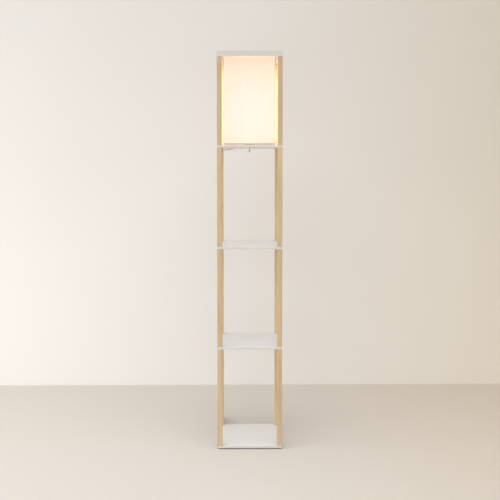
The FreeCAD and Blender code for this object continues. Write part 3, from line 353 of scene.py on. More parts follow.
legWood = dressWith(
    "legWood", woodGrain,
    {"Light": (0.68, 0.515, 0.325), "Dark": (0.53, 0.38, 0.215), "Streak": (0.40, 0.26, 0.13), "Gloss": 0.40},
    bump=0.35, bumpDepth=0.0002,
    fixed={"Specular IOR Level": 0.4, "Coat Weight": 0.12, "Coat Roughness": 0.35},
)
beech = dressWith(
    "beech", woodGrain,
    {"Light": (0.68, 0.50, 0.33), "Dark": (0.54, 0.37, 0.22), "Streak": (0.38, 0.23, 0.12), "Gloss": 0.55},
    bump=0.4, bumpDepth=0.0002, fixed={"Specular IOR Level": 0.3},
)
whiteLacquer = dressWith(
    "whiteLacquer", smoothFilm,
    {"Color": (0.665, 0.65, 0.635), "Soil": (0.57, 0.55, 0.52), "Amount": 0.2, "Gloss": 0.34, "Peel": 420.0},
    bump=0.12, bumpDepth=0.0002,
    fixed={"Specular IOR Level": 0.5, "Coat Weight": 0.2, "Coat Roughness": 0.25},
)
whiteEnamel = dressWith(
    "whiteEnamel", smoothFilm,
    {"Color": (0.80, 0.78, 0.73), "Soil": (0.62, 0.58, 0.52), "Amount": 0.3, "Gloss": 0.3, "Peel": 1500.0},
    bump=0.2, bumpDepth=0.0001, fixed={"Coat Weight": 0.25, "Coat Roughness": 0.2},
)
leadVinyl = dressWith(
    "leadVinyl", smoothFilm,
    {"Color": (0.88, 0.87, 0.84), "Soil": (0.70, 0.67, 0.62), "Amount": 0.25, "Gloss": 0.33, "Peel": 1200.0},
    bump=0.15, bumpDepth=0.0001,
    fixed={"Specular IOR Level": 0.5, "Coat Weight": 0.05, "Coat Roughness": 0.3},
)
holderResin = dressWith(
    "holderResin", smoothFilm,
    {"Color": (0.80, 0.78, 0.74), "Soil": (0.62, 0.58, 0.51), "Amount": 0.3, "Gloss": 0.34, "Peel": 1400.0},
    bump=0.2, bumpDepth=0.0001, fixed={"Specular IOR Level": 0.5},
)
bulbResin = dressWith(
    "bulbResin", smoothFilm,
    {"Color": (0.80, 0.80, 0.78), "Soil": (0.66, 0.63, 0.58), "Amount": 0.25, "Gloss": 0.4, "Peel": 1800.0},
    bump=0.15, bumpDepth=0.0001, fixed={"Specular IOR Level": 0.5},
)
pressedBoard = dressWith(
    "pressedBoard", smoothFilm,
    {"Color": (0.42, 0.32, 0.20), "Soil": (0.25, 0.17, 0.10), "Amount": 0.7, "Gloss": 0.75, "Peel": 900.0},
    bump=0.5, bumpDepth=0.0002, fixed={"Specular IOR Level": 0.2},
)
zincSteel = dressWith(
    "zincSteel", metalFilm,
    {"Color": (0.60, 0.61, 0.62), "Tarnish": (0.40, 0.40, 0.39), "Gloss": 0.27, "Lines": 700.0},
    bump=0.15, bumpDepth=0.0001, fixed={"Metallic": 1.0},
)
drawnBrass = dressWith(
    "drawnBrass", metalFilm,
    {"Color": (0.75, 0.53, 0.22), "Tarnish": (0.42, 0.27, 0.10), "Gloss": 0.24, "Lines": 900.0},
    bump=0.12, bumpDepth=0.0001, fixed={"Metallic": 1.0},
)
nickel = dressWith(
    "nickel", metalFilm,
    {"Color": (0.64, 0.61, 0.56), "Tarnish": (0.42, 0.39, 0.34), "Gloss": 0.16, "Lines": 1100.0},
    bump=0.08, bumpDepth=0.0001, fixed={"Metallic": 1.0},
)
coatedAluminium = dressWith(
    "coatedAluminium", smoothFilm,
    {"Color": (0.82, 0.81, 0.78), "Soil": (0.7, 0.64, 0.45), "Amount": 0.4, "Gloss": 0.45, "Peel": 1500.0},
    bump=0.1, bumpDepth=0.0001, fixed={"Specular IOR Level": 0.5},
)


def makeFelt():
    material = bpy.data.materials.new("greyFelt")
    material.use_nodes = True
    tree = material.node_tree
    shader = tree.nodes["Principled BSDF"]
    spot = objectSpot(tree, (-1000, 200))
    fibres = addNoise(tree, (-800, 200), spot, scale=900, detail=5, roughness=0.75, distortion=1.5)
    tufts = addNoise(tree, (-800, -50), spot, scale=180, detail=3, roughness=0.6, distortion=0.4)
    both = addMath(tree, "MULTIPLY", (-600, 100), fibres, addMath(tree, "ADD", (-700, -50), tufts, 0.5))
    colour = addRamp(tree, (-400, 200), both, [(0.3, (0.07, 0.06, 0.055)), (0.7, (0.24, 0.215, 0.195))])
    relief = addNode(tree, "ShaderNodeBump", (-300, -200), None, {"Strength": 0.8, "Distance": 0.0006})
    feed(tree, relief.inputs["Height"], fibres)
    feed(tree, shader.inputs["Base Color"], colour)
    feed(tree, shader.inputs["Normal"], relief.outputs["Normal"])
    setFixed(shader, {"Roughness": 0.95, "Sheen Weight": 0.4})
    return material


glow = {
    "bulb": (0.0, 0.0, 1.352),          # middle of the lit globe
    "near": 0.100, "far": 0.250,        # from the bulb to the cloth's nearest and farthest places
    "stops": [(0.0, (0.84, 0.67, 0.57)), (0.35, (0.83, 0.635, 0.50)), (0.7, (0.82, 0.60, 0.44)),
              (1.0, (0.81, 0.575, 0.43))],
    "clothColour": (0.36, 0.345, 0.32), "threadShade": (0.30, 0.28, 0.25),
    "strength": 1.0, "hemStrength": 0.45, "linerStrength": 0.85,
    "shine": 5.0, "shineFar": 0.7, "shineReach": 0.30, "castColour": (0.74, 0.59, 1.0),
    "fadeFrom": 1.54, "fadeTo": 1.575, "fade": 0.1,
}


def makeGlowingCloth(name, strength, tint, shine):
    material = bpy.data.materials.new(name)
    material.use_nodes = True
    tree = material.node_tree
    shader = tree.nodes["Principled BSDF"]
    pitch = {"Pitch": cloth["pitch"]}
    weave = addNode(tree, "ShaderNodeGroup", (-900, -200), {"node_tree": plainWeave}, pitch)
    away = addNode(tree, "ShaderNodeVectorMath", (-900, 300), {"operation": "DISTANCE"})
    feed(tree, away.inputs[0], objectSpot(tree, (-1100, 300)))
    away.inputs[1].default_value = glow["bulb"]
    ends = {"From Min": glow["near"], "From Max": glow["far"]}
    share = addNode(tree, "ShaderNodeMapRange", (-700, 300), None, ends)
    feed(tree, share.inputs["Value"], away.outputs["Value"])
    light = addRamp(tree, (-500, 300), share.outputs["Result"], glow["stops"])
    threads = addRamp(tree, (-650, 0), weave.outputs["Slub"], [(0.3, (0.90, 0.89, 0.87)), (0.65, (1, 1, 1))])
    light = addMix(tree, (-200, 300), 1.0, light, threads, "MULTIPLY")
    # the low places in the weave are painted darker: painted shade between the threads
    colour = addMix(tree, (-200, 0), weave.outputs["Thread"], glow["threadShade"], glow["clothColour"])
    colour = addMix(tree, (-50, 0), 1.0, colour, tint, "MULTIPLY")
    relief = addNode(tree, "ShaderNodeBump", (-300, -350), None, {"Strength": 0.25, "Distance": 0.0002})
    feed(tree, relief.inputs["Height"], weave.outputs["Height"])
    feed(tree, shader.inputs["Base Color"], colour)
    feed(tree, shader.inputs["Emission Color"], light)
    feed(tree, shader.inputs["Normal"], relief.outputs["Normal"])
    # the cloth shines on the wood close beside it more than the picture's range can show of the cloth itself
    path = addNode(tree, "ShaderNodeLightPath", (-1100, -600)).outputs
    close = addMath(tree, "LESS_THAN", (-900, -600), path["Ray Length"], glow["shineReach"])
    split = addNode(tree, "ShaderNodeSeparateXYZ", (-1100, -900))
    feed(tree, split.inputs[0], objectSpot(tree, (-1300, -900)))
    fading = {"From Min": glow["fadeFrom"], "From Max": glow["fadeTo"], "To Min": shine,
              "To Max": shine * glow["fade"]}
    top = addNode(tree, "ShaderNodeMapRange", (-900, -900), None, fading)
    feed(tree, top.inputs["Value"], split.outputs["Z"])
    nearShare = addMath(tree, "SUBTRACT", (-700, -700), top.outputs["Result"], glow["shineFar"])
    nearCast = addMath(tree, "MULTIPLY", (-600, -600), close, nearShare)
    cast = addMath(tree, "ADD", (-500, -600), nearCast, glow["shineFar"])
    unseen = addMath(tree, "SUBTRACT", (-500, -800), 1.0, path["Is Camera Ray"])
    more = addMath(tree, "SUBTRACT", (-400, -700), cast, 1.0)
    extra = addMath(tree, "MULTIPLY", (-300, -600), unseen, more)
    power = addMath(tree, "MULTIPLY", (-100, -600), addMath(tree, "ADD", (-200, -600), extra, 1.0), strength)
    light = addMix(tree, (0, 300), unseen, light, glow["castColour"])
    feed(tree, shader.inputs["Emission Strength"], power)
    setFixed(shader, {"Roughness": 0.85, "Sheen Weight": 0.15, "Specular IOR Level": 0.2})
    return material


globe = {
    "seam": 1.3265, "middle": 1.3737, "strength": 12.0,
    "stops": [(0.0, (1.0, 0.70, 0.42)), (0.4, (1.0, 0.84, 0.62)), (1.0, (1.0, 0.80, 0.55))],
}


def makeOpal():
    # lit opal plastic, redder towards its seam with the housing
    material = bpy.data.materials.new("opalGlobe")
    material.use_nodes = True
    tree = material.node_tree
    shader = tree.nodes["Principled BSDF"]
    split = addNode(tree, "ShaderNodeSeparateXYZ", (-900, 200))
    feed(tree, split.inputs[0], objectSpot(tree, (-1100, 200)))
    levels = {"From Min": globe["seam"], "From Max": globe["middle"]}
    rise = addNode(tree, "ShaderNodeMapRange", (-700, 200), None, levels)
    feed(tree, rise.inputs["Value"], split.outputs["Z"])
    light = addRamp(tree, (-400, 200), rise.outputs["Result"], globe["stops"])
    haze = addNoise(tree, (-700, -100), objectSpot(tree, (-900, -100)), scale=120)
    rough = addMath(tree, "ADD", (-300, -100), 0.3, addMath(tree, "MULTIPLY", (-450, -100), haze, 0.1))
    feed(tree, shader.inputs["Base Color"], light)
    feed(tree, shader.inputs["Emission Color"], light)
    feed(tree, shader.inputs["Roughness"], rough)
    setFixed(shader, {"Emission Strength": globe["strength"]})
    return material


greyFelt = makeFelt()
glowingCloth = makeGlowingCloth("glowingCloth", glow["strength"], (1.0, 1.0, 1.0), glow["shine"])
# the liner and the hems glow less than the outer cloth, and their colours are painted darker: painted shade
glowingLiner = makeGlowingCloth("glowingLiner", glow["linerStrength"], (0.8, 0.78, 0.74), 1.0)
hemCloth = makeGlowingCloth("hemCloth", glow["hemStrength"], (0.72, 0.68, 0.62), glow["shine"])
opalGlobe = makeOpal()
print("materials made")


# Every CAD piece that stays gets the finish of its slot.

finishes = {
    "posts_wood": legWood, "white_lacquer": whiteLacquer, "dowel_wood": beech, "foot_felt": greyFelt,
    "zinc_steel": zincSteel, "holder_white": holderResin, "liner_board": pressedBoard, "brass": drawnBrass,
    "chain_nickel": nickel, "bulb_white": bulbResin, "bulb_diffuser": opalGlobe,
    "emitter_aluminium": coatedAluminium, "shade_fabric": glowingCloth, "ring_white": whiteEnamel,
    "lead_white": leadVinyl,
}
for part in frame["record"]["subparts"]:
    data = nodes[part["node"]].data
    data.materials.clear()
    data.materials.append(finishes[part["material_slot"]])


# The mains lead: one NURBS line from the holder's bush to the plug, its spare length in a coil.

lead = {
    "radius": 0.0025, "bushLevel": 1.2376, "bushAngle": 120, "rim": 1.2127, "back": 0.1333, "side": -0.121,
    # out of the bush: how far from the middle, how much further in X, and the height from the bush
    "fromBush": [(0.0133, 0, 0), (0.0315, 0, 0), (0.0445, -0.001, -0.007), (0.0535, -0.004, -0.020)],
    # under the lamp frame: X, Y, and the height from the frame's rim
    "underFrame": [(-0.040, 0.062, -0.006), (-0.054, 0.077, -0.006), (-0.070, 0.0935, -0.0015),
                   (-0.086, 0.112, 0.0002)],
    # round the leg: X, how far past the line behind it, and the height from the rim
    "roundLeg": [(-0.103, 0, -0.001), (-0.114, 0.011, -0.010), (-0.1185, 0.018, -0.029),
                 (-0.120, 0.016, -0.054)],
    # down the leg: how far past that line, and the height from the rim, then heights above the coil
    "downLeg": [(0.006, -0.088), (0, -0.135)], "overCoil": 0.110, "turnOverCoil": 0.040,
    "coilInner": 0.020, "coilPitch": 0.0057, "coilTurns": 7.25, "coilSteps": 16,
    "coilY": 0.1806625, "coilZ": 0.0483625, "coilNear": 0.140, "endRun": 0.005,
    "exitOut": 0.0255, "length": 2.70,
}
bushTurn = math.radians(lead["bushAngle"])
bushWay = Vector((math.cos(bushTurn), math.sin(bushTurn), 0))


def leadRoute():
    # out of the bush, under the lamp frame to the rear, and down behind the leg
    level, rim, back, x = lead["bushLevel"], lead["rim"], lead["back"], lead["side"]
    top, near = lead["coilZ"] + lead["radius"] * 2, lead["coilNear"]
    spots = [bushWay * out + Vector((along, 0, level + up)) for out, along, up in lead["fromBush"]]
    spots += [Vector((across, y, rim + up)) for across, y, up in lead["underFrame"]]
    spots += [Vector((across, back + past, rim + up)) for across, past, up in lead["roundLeg"]]
    spots += [Vector((x, back + past, rim + up)) for past, up in lead["downLeg"]]
    spots.append(Vector((x, back, top + lead["overCoil"])))
    return spots + [Vector((x, near, top + lead["turnOverCoil"])), Vector((x, near, top))]


def coilRoute():
    # it winds in, steps sideways by one thickness, and winds out
    middle = math.pi * lead["coilTurns"]
    steps = round(lead["coilTurns"] * lead["coilSteps"])
    spots = []
    for step in range(steps + 1):
        angle = 2 * math.pi * step / lead["coilSteps"]
        radius = lead["coilInner"] + lead["coilPitch"] * abs(angle - middle) / (2 * math.pi)
        share = min(max((angle - middle) / math.pi + 0.5, 0), 1)
        x = lead["side"] - lead["coilPitch"] * (1 - math.cos(math.pi * share)) / 2
        y, z = lead["coilY"] - radius * math.cos(angle), lead["coilZ"] - radius * math.sin(angle)
        spots.append(Vector((x, y, z)))
    return spots + [spots[-1] + Vector((0, lead["endRun"], 0))]


def addLine(name, spots, radius, material):
    curve = bpy.data.curves.new(name, "CURVE")
    curve.dimensions = "3D"
    curve.bevel_depth = radius
    curve.bevel_resolution = 3
    curve.resolution_u = 5
    curve.use_fill_caps = radius > 0
    spline = curve.splines.new("NURBS")
    spline.points.add(len(spots) - 1)
    for point, spot in zip(spline.points, spots):
        point.co = (*spot, 1)
    spline.order_u = 3
    spline.use_endpoint_u = True
    if material:
        curve.materials.append(material)
    line = bpy.data.objects.new(name, curve)
    scene.collection.objects.link(line)
    return line


leadPiece = addLine("leadCord", leadRoute() + coilRoute()[1:], lead["radius"], leadVinyl)
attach(leadPiece, "stand")
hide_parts("mains_lead", "lead_coil")


def readRoute(spots):
    # the same NURBS line without its thickness, read back as points
    line = addLine("routeLine", spots, 0.0, None)
    mesh = bpy.data.meshes.new_from_object(line)
    points = [vertex.co.copy() for vertex in mesh.vertices]
    bpy.data.meshes.remove(mesh)
    bpy.data.curves.remove(line.data)
    return points


def drawOut(bm, loop, moves):
    # an open edge loop drawn out step by step: how far it goes, and how much wider it gets
    for shift, widen in moves:
        made = bmesh.ops.extrude_edge_only(bm, edges=loop)["geom"]
        verts = only(bmesh.types.BMVert, made)
        loop = [edge for edge in only(bmesh.types.BMEdge, made) if set(edge.verts) <= set(verts)]
        bmesh.ops.translate(bm, vec=shift, verts=verts)
        middle = sum((vert.co for vert in verts), Vector()) / len(verts)
        bmesh.ops.scale(bm, vec=widen, space=Matrix.Translation(-middle), verts=verts)
    return loop


relief = {
    "from": 0.0249, "length": 0.027, "wide": 0.0043, "narrow": 0.0032, "ribs": 7, "ringsInRib": 4,
    "groove": 0.0006, "sides": 28,
}


def buildRelief():
    # a ribbed sleeve that follows the lead's line from the bush and gets slimmer
    points = readRoute(leadRoute())
    rings, run = [], 0.0
    stations = relief["ribs"] * relief["ringsInRib"]
    wanted = [relief["length"] * step / stations for step in range(stations + 1)]
    start = None
    for first, second in zip(points, points[1:]):
        step = (second - first).length
        if start is None and Vector((first.x, first.y)).length >= relief["from"]:
            start = run
        while start is not None and wanted and run + step - start >= wanted[0]:
            spot = first.lerp(second, (wanted[0] + start - run) / step)
            rings.append((spot, (second - first).normalized(), wanted.pop(0)))
        run += step
    bm = bmesh.new()
    loops = []
    for index, (spot, way, along) in enumerate(rings):
        share = along / relief["length"]
        radius = relief["wide"] + (relief["narrow"] - relief["wide"]) * share
        if index % relief["ringsInRib"] in (1, 2) and index < len(rings) - 2:
            radius -= relief["groove"]
        place = Matrix.Translation(spot) @ way.to_track_quat("Z", "X").to_matrix().to_4x4()
        made = bmesh.ops.create_circle(bm, segments=relief["sides"], radius=radius, matrix=place)
        loops.append(edgesOf(made["verts"]))
    for first, second in zip(loops, loops[1:]):
        bmesh.ops.bridge_loops(bm, edges=first + second)
    for end in (loops[0], loops[-1]):
        bmesh.ops.holes_fill(bm, edges=end, sides=0)
    bmesh.ops.recalc_face_normals(bm, faces=bm.faces)
    return addPiece("leadRelief", bm, leadVinyl, "stand")


leadRelief = buildRelief()
print("mains lead and its relief laid")


plugShape = {
    "x": -0.1267, "level": 0.0077, "start": 0.185662, "width": 0.024, "thickness": 0.015, "length": 0.027,
    "corner": 0.003, "shoulder": 0.0022, "lipInset": 0.0016, "lipWidth": 0.0003, "lipDepth": 0.0004,
    "reliefLength": 0.022, "reliefNarrow": 0.0031, "reliefWide": 0.0046, "reliefSunk": 0.002, "ribs": 6,
    "waist": 0.88, "grips": 5, "gripShare": 0.62, "gripWidth": 0.0012, "gripProud": 0.00035,
    "gripEdge": 0.0003, "gripPitch": 0.0028, "gripFrom": 0.0065,
}
bladeShape = {
    "spacing": 0.0127, "length": 0.017, "sunk": 0.001, "width": 0.00635, "thick": 0.0015, "hole": 0.0016,
    "holeFromTip": 0.0012,
}


def ribbedRelief(shape):
    # each rib runs straight, steps in to its waist, runs on, and widens to the next rib
    bm = bmesh.new()
    upright = Matrix.Rotation(math.radians(90), 4, "X")
    made = bmesh.ops.create_circle(bm, segments=32, radius=shape["reliefNarrow"], matrix=upright)
    loop = edgesOf(made["verts"])
    bmesh.ops.holes_fill(bm, edges=loop, sides=0)
    pitch = shape["reliefLength"] / shape["ribs"]
    grow = (shape["reliefWide"] / shape["reliefNarrow"]) ** (1 / shape["ribs"])
    steps = [(0.40, 1.0), (0.10, shape["waist"]), (0.30, 1.0), (0.20, grow / shape["waist"])]
    moves = [(pitch * share, widen) for share, widen in steps] * shape["ribs"] + [(shape["reliefSunk"], 1)]
    loop = drawOut(bm, loop, [(Vector((0, shift, 0)), (widen, 1, widen)) for shift, widen in moves])
    bmesh.ops.holes_fill(bm, edges=loop, sides=0)
    return bm


def plugBody(shape):
    # a rounded block with a small rim round the blades and grip bars on both faces
    bm = bmesh.new()
    bmesh.ops.create_cube(bm, size=1)
    bmesh.ops.scale(bm, vec=(shape["width"], shape["length"], shape["thickness"]), verts=bm.verts)
    bmesh.ops.bevel(bm, geom=longEdges(bm, 1, shape["length"]), offset=shape["corner"], segments=5,
                    profile=0.5, affect="EDGES", material=-1)
    for side, offset in ((-1, shape["shoulder"]), (1, shape["shoulder"] / 3)):
        end = [face for face in bm.faces if face.normal.y * side > 0.9]
        rim = list(dict.fromkeys(edge for face in end for edge in face.edges))
        bmesh.ops.bevel(bm, geom=rim, offset=offset, segments=4, profile=0.5, affect="EDGES", material=-1)
    half = shape["width"] * shape["thickness"] / 2
    front = [face for face in bm.faces if face.normal.y > 0.95 and face.calc_area() > half]
    bmesh.ops.inset_region(bm, faces=front, thickness=shape["lipInset"], depth=0.0)
    bmesh.ops.inset_region(bm, faces=front, thickness=shape["lipWidth"], depth=-shape["lipDepth"])
    bmesh.ops.translate(bm, vec=(0, shape["reliefLength"] + shape["length"] / 2, 0), verts=bm.verts)
    for face in (-1, 1):
        for grip in range(shape["grips"]):
            bar = bmesh.ops.create_cube(bm, size=1)["verts"]
            sides = (shape["width"] * shape["gripShare"], shape["gripWidth"], shape["gripProud"] * 4)
            bmesh.ops.scale(bm, vec=sides, verts=bar)
            y = shape["reliefLength"] + shape["gripFrom"] + grip * shape["gripPitch"]
            z = face * (shape["thickness"] / 2 - shape["gripProud"])
            bmesh.ops.translate(bm, vec=(0, y, z), verts=bar)
            bmesh.ops.bevel(bm, geom=edgesOf(bar), offset=shape["gripEdge"], segments=2, profile=0.5,
                            affect="EDGES", material=-1)
    return bm


def buildPlug():
    shape = plugShape
    bm = ribbedRelief(shape)
    mergeInto(bm, plugBody(shape))
    bmesh.ops.translate(bm, vec=(shape["x"], shape["start"], shape["level"]), verts=bm.verts)
    bmesh.ops.recalc_face_normals(bm, faces=bm.faces)
    piece = addPiece("mainsPlug", bm, leadVinyl, "stand")
    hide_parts("plug_body")
    return piece


def makeBlade(shape):
    # a flat blade with a rounded tip and a hole near it; the tip's middle is at the origin
    bm = bmesh.new()
    flat = Matrix.Rotation(math.radians(90), 4, "Y")
    outline = bmesh.ops.create_circle(bm, segments=24, radius=shape["width"] / 2, matrix=flat)["verts"]
    low = [vert for vert in outline if vert.co.y < 0]
    bmesh.ops.scale(bm, vec=(1, 0.01, 1), verts=low)
    bmesh.ops.translate(bm, vec=(0, shape["width"] / 2 - shape["length"] - shape["sunk"], 0), verts=low)
    hole = bmesh.ops.create_circle(bm, segments=24, radius=shape["hole"], matrix=flat)["verts"]
    bmesh.ops.translate(bm, vec=(0, -shape["holeFromTip"], 0), verts=hole)
    filled = bmesh.ops.triangle_fill(bm, use_beauty=True, edges=edgesOf(outline + hole))["geom"]
    bmesh.ops.solidify(bm, geom=only(bmesh.types.BMFace, filled), thickness=shape["thick"])
    middle = sum(vert.co.x for vert in bm.verts) / len(bm.verts)
    bmesh.ops.translate(bm, vec=(-middle, 0, 0), verts=bm.verts)
    return bm


def buildBlades():
    bm = bmesh.new()
    tip = plugShape["start"] + plugShape["reliefLength"] + plugShape["length"] + bladeShape["length"]
    for side in (-1, 1):
        blade = makeBlade(bladeShape)
        x = plugShape["x"] + side * bladeShape["spacing"] / 2
        spot = (x, tip - bladeShape["width"] / 2, plugShape["level"])
        bmesh.ops.translate(blade, vec=spot, verts=blade.verts)
        mergeInto(bm, blade)
    bmesh.ops.recalc_face_normals(bm, faces=bm.faces)
    piece = addPiece("plugBlades", bm, nickel, "stand", smooth=False)
    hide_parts("plug_blades")
    return piece


mainsPlug = buildPlug()
plugBlades = buildBlades()
print("plug built")


# Screws with a crossed recess, and the base bolts with a round sunk socket.

# shares of the head's radius or height, of the shank's radius or of the screw's length
screwForm = {
    "headTop": 0.9, "crossHalf": 0.13, "crossReach": 0.56, "socketRim": 0.36, "recessDepth": 0.5,
    "recessTaper": 0.8, "tip": 0.2, "tipWidth": 0.55, "sunk": 0.0002,
}
screwShapes = {
    "rail": {"head": 0.004, "headHeight": 0.0028, "shank": 0.002, "length": 0.0418, "recess": "cross"},
    "small": {"head": 0.0029, "headHeight": 0.0016, "shank": 0.0015, "length": 0.008, "recess": "cross"},
    "bolt": {"head": 0.0055, "headHeight": 0.003, "shank": 0.003, "length": 0.0176, "recess": "socket"},
}


def crossFloor(bm, lid, half, reach):
    # the lid is cut by two sets of lines, and a cross of its faces is given back
    pool = [lid, *lid.verts, *lid.edges]
    for normal in ((1, 0, 0), (0, 1, 0)):
        for offset in (-reach, -half, half, reach):
            spot = Vector(normal) * offset
            cut = bmesh.ops.bisect_plane(bm, geom=pool, plane_co=spot, plane_no=normal, dist=1e-7)
            pool = list(dict.fromkeys(cut["geom"] + cut["geom_cut"]))
    floor = []
    for face in only(bmesh.types.BMFace, pool):
        across, along = sorted(abs(value) for value in face.calc_center_median()[:2])
        if across < half and along < reach:
            floor.append(face)
    return floor


def makeScrew(shape, spot, upsideDown):
    bm = bmesh.new()
    form, head, height, shank = screwForm, shape["head"], shape["headHeight"], shape["shank"]
    bmesh.ops.create_cone(bm, cap_ends=True, segments=32, radius1=head, radius2=head * form["headTop"],
                          depth=height)
    lid = next(face for face in bm.faces if face.normal.z > 0.9)
    if shape["recess"] == "cross":
        floor = crossFloor(bm, lid, head * form["crossHalf"], head * form["crossReach"])
    else:
        bmesh.ops.inset_region(bm, faces=[lid], thickness=head * form["socketRim"])
        floor = [lid]
    lowered = only(bmesh.types.BMVert, bmesh.ops.extrude_face_region(bm, geom=floor)["geom"])
    bmesh.ops.delete(bm, geom=floor, context="FACES_ONLY")
    bmesh.ops.translate(bm, vec=(0, 0, -height * form["recessDepth"]), verts=lowered)
    bmesh.ops.scale(bm, vec=(form["recessTaper"], form["recessTaper"], 1), verts=lowered)
    bmesh.ops.translate(bm, vec=(0, 0, height / 2), verts=bm.verts)
    # the shank reaches a little into the head and narrows at its tip
    tip = shape["length"] * form["tip"]
    straight = shape["length"] - tip + form["sunk"]
    for foot, length, middle in ((shank * form["tipWidth"], tip, tip / 2 - shape["length"]),
                                 (shank, straight, form["sunk"] - straight / 2)):
        made = bmesh.ops.create_cone(bm, cap_ends=True, segments=20, radius1=foot, radius2=shank,
                                     depth=length)
        bmesh.ops.translate(bm, vec=(0, 0, middle), verts=made["verts"])
    if upsideDown:
        halfTurn = Matrix.Rotation(math.radians(180), 3, "X")
        bmesh.ops.rotate(bm, cent=(0, 0, 0), matrix=halfTurn, verts=bm.verts)
    bmesh.ops.translate(bm, vec=spot, verts=bm.verts)
    return bm


def fourSpots(x, y, level):
    return [(x * side, y * way, level) for side in (-1, 1) for way in (-1, 1)]


legMiddle = 0.120
strapEnds = [(-0.120, 0, 1.227), (0.120, 0, 1.227)]
screwSets = [
    ("railScrews", "top_screws", "rail", fourSpots(legMiddle, legMiddle, 1.5928), False),
    ("smallScrews", "small_screws", "small", strapEnds + fourSpots(0.060, 0.08825, 1.2262), False),
    ("baseBolts", "base_bolts", "bolt", fourSpots(legMiddle, legMiddle, 0.0074), True),
]


def buildScrews():
    for name, node, kind, spots, upsideDown in screwSets:
        bm = bmesh.new()
        for spot in spots:
            mergeInto(bm, makeScrew(screwShapes[kind], spot, upsideDown))
        bmesh.ops.recalc_face_normals(bm, faces=bm.faces)
        piece = addPiece(name, bm, zincSteel, "stand", smooth=False)
        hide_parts(node)


buildScrews()
print("screws built")


# The shade: stiff cloth round two wire rings, with folded hems and one lapped seam.

shade = {
    "half": 0.101, "foot": 1.229, "head": 1.582, "corner": 0.007, "cornerSteps": 6, "rows": 10,
    "wall": 0.0008, "hem": 0.0055, "hemProud": 0.0004, "hemPast": 0.0003, "seamWidth": 0.009,
    "seamMiddle": -0.088, "seamWall": 0.9,
}


def addBoxWall(half, corner, foot, head, rows):
    # an open box: a cube without its lid and floor, its upright edges rounded
    bm = bmesh.new()
    bmesh.ops.create_cube(bm, size=1)
    bmesh.ops.scale(bm, vec=(half * 2, half * 2, head - foot), verts=bm.verts)
    bmesh.ops.translate(bm, vec=(0, 0, (head + foot) / 2), verts=bm.verts)
    ends = [face for face in bm.faces if abs(face.normal.z) > 0.5]
    bmesh.ops.delete(bm, geom=ends, context="FACES_ONLY")
    upright = longEdges(bm, 2, head - foot)
    bmesh.ops.bevel(bm, geom=upright, offset=corner, offset_type="OFFSET", segments=shade["cornerSteps"],
                    profile=0.5, affect="EDGES", material=-1, clamp_overlap=False)
    if rows > 1:
        upright = longEdges(bm, 2, head - foot)
        bmesh.ops.subdivide_edges(bm, edges=upright, cuts=rows - 1, use_grid_fill=True)
    return bm


def buildShade():
    half, corner, foot, head = shade["half"], shade["corner"], shade["foot"], shade["head"]
    walls = addBoxWall(half, corner, foot, head, shade["rows"])
    sides = addPiece("shadeCloth", walls, glowingCloth, "stand")
    sides.data.materials.append(glowingLiner)
    addSolidify(sides, shade["wall"])
    sides.modifiers["wall"].material_offset = 1
    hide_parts("shade_cover")
    hems = bmesh.new()
    proud, past, fold = shade["hemProud"], shade["hemPast"], shade["hem"]
    for low, high in ((foot - past, foot + fold), (head - fold, head + past)):
        mergeInto(hems, addBoxWall(half + proud, corner + proud, low, high, 1))
    hemPiece = addPiece("shadeHems", hems, hemCloth, "stand")
    addSolidify(hemPiece, proud)
    flap = bmesh.new()
    bmesh.ops.create_grid(flap, x_segments=2, y_segments=shade["rows"], size=0.5)
    bmesh.ops.scale(flap, vec=(shade["seamWidth"], head - foot - fold * 2, 1), verts=flap.verts)
    upright = Matrix.Rotation(math.radians(-90), 3, "X")
    bmesh.ops.rotate(flap, cent=(0, 0, 0), matrix=upright, verts=flap.verts)
    bmesh.ops.translate(flap, vec=(shade["seamMiddle"], half + proud, (head + foot) / 2), verts=flap.verts)
    seam = addPiece("shadeSeam", flap, glowingCloth, "stand")
    addSolidify(seam, proud * shade["seamWall"])


buildShade()
print("shade built")


# The camera stands a little to the left of the lamp and looks slightly down.

view = {"spot": (-0.032, -3.131, 1.159), "down": 3.12, "right": 0.63, "lens": 54.5, "shiftY": -0.0934}
camera = bpy.data.cameras.new("camera")
camera.lens = view["lens"]
camera.shift_y = view["shiftY"]
camera.dof.use_dof = False
cameraObject = bpy.data.objects.new("camera", camera)
cameraObject.location = view["spot"]
cameraObject.rotation_euler = (math.radians(90 - view["down"]), 0, math.radians(-view["right"]))
scene.collection.objects.link(cameraObject)
scene.camera = cameraObject


# Floor, wall and light.

# these colour ramps are painted light and shade: the wall is painted darker towards the top, wall and floor
# are painted warm and dimmer to the right as a painted falloff of light, and the floor is painted darker
# towards the wall as painted shade
room = {
    "wallY": 0.76, "size": 16, "behindWall": 4, "aboveFloor": 12,
    "floorColour": (0.60, 0.555, 0.505), "floorGrain": 60, "wallColour": (0.85, 0.825, 0.79), "wallGrain": 90,
    "uneven": 0.965, "high": (0.93, 0.93, 0.93), "right": (0.93, 0.885, 0.81), "deep": (0.88, 0.87, 0.86),
    "highReach": (0.1, 1.2), "rightReach": (0.0, 1.2), "deepFrom": -0.5,
}


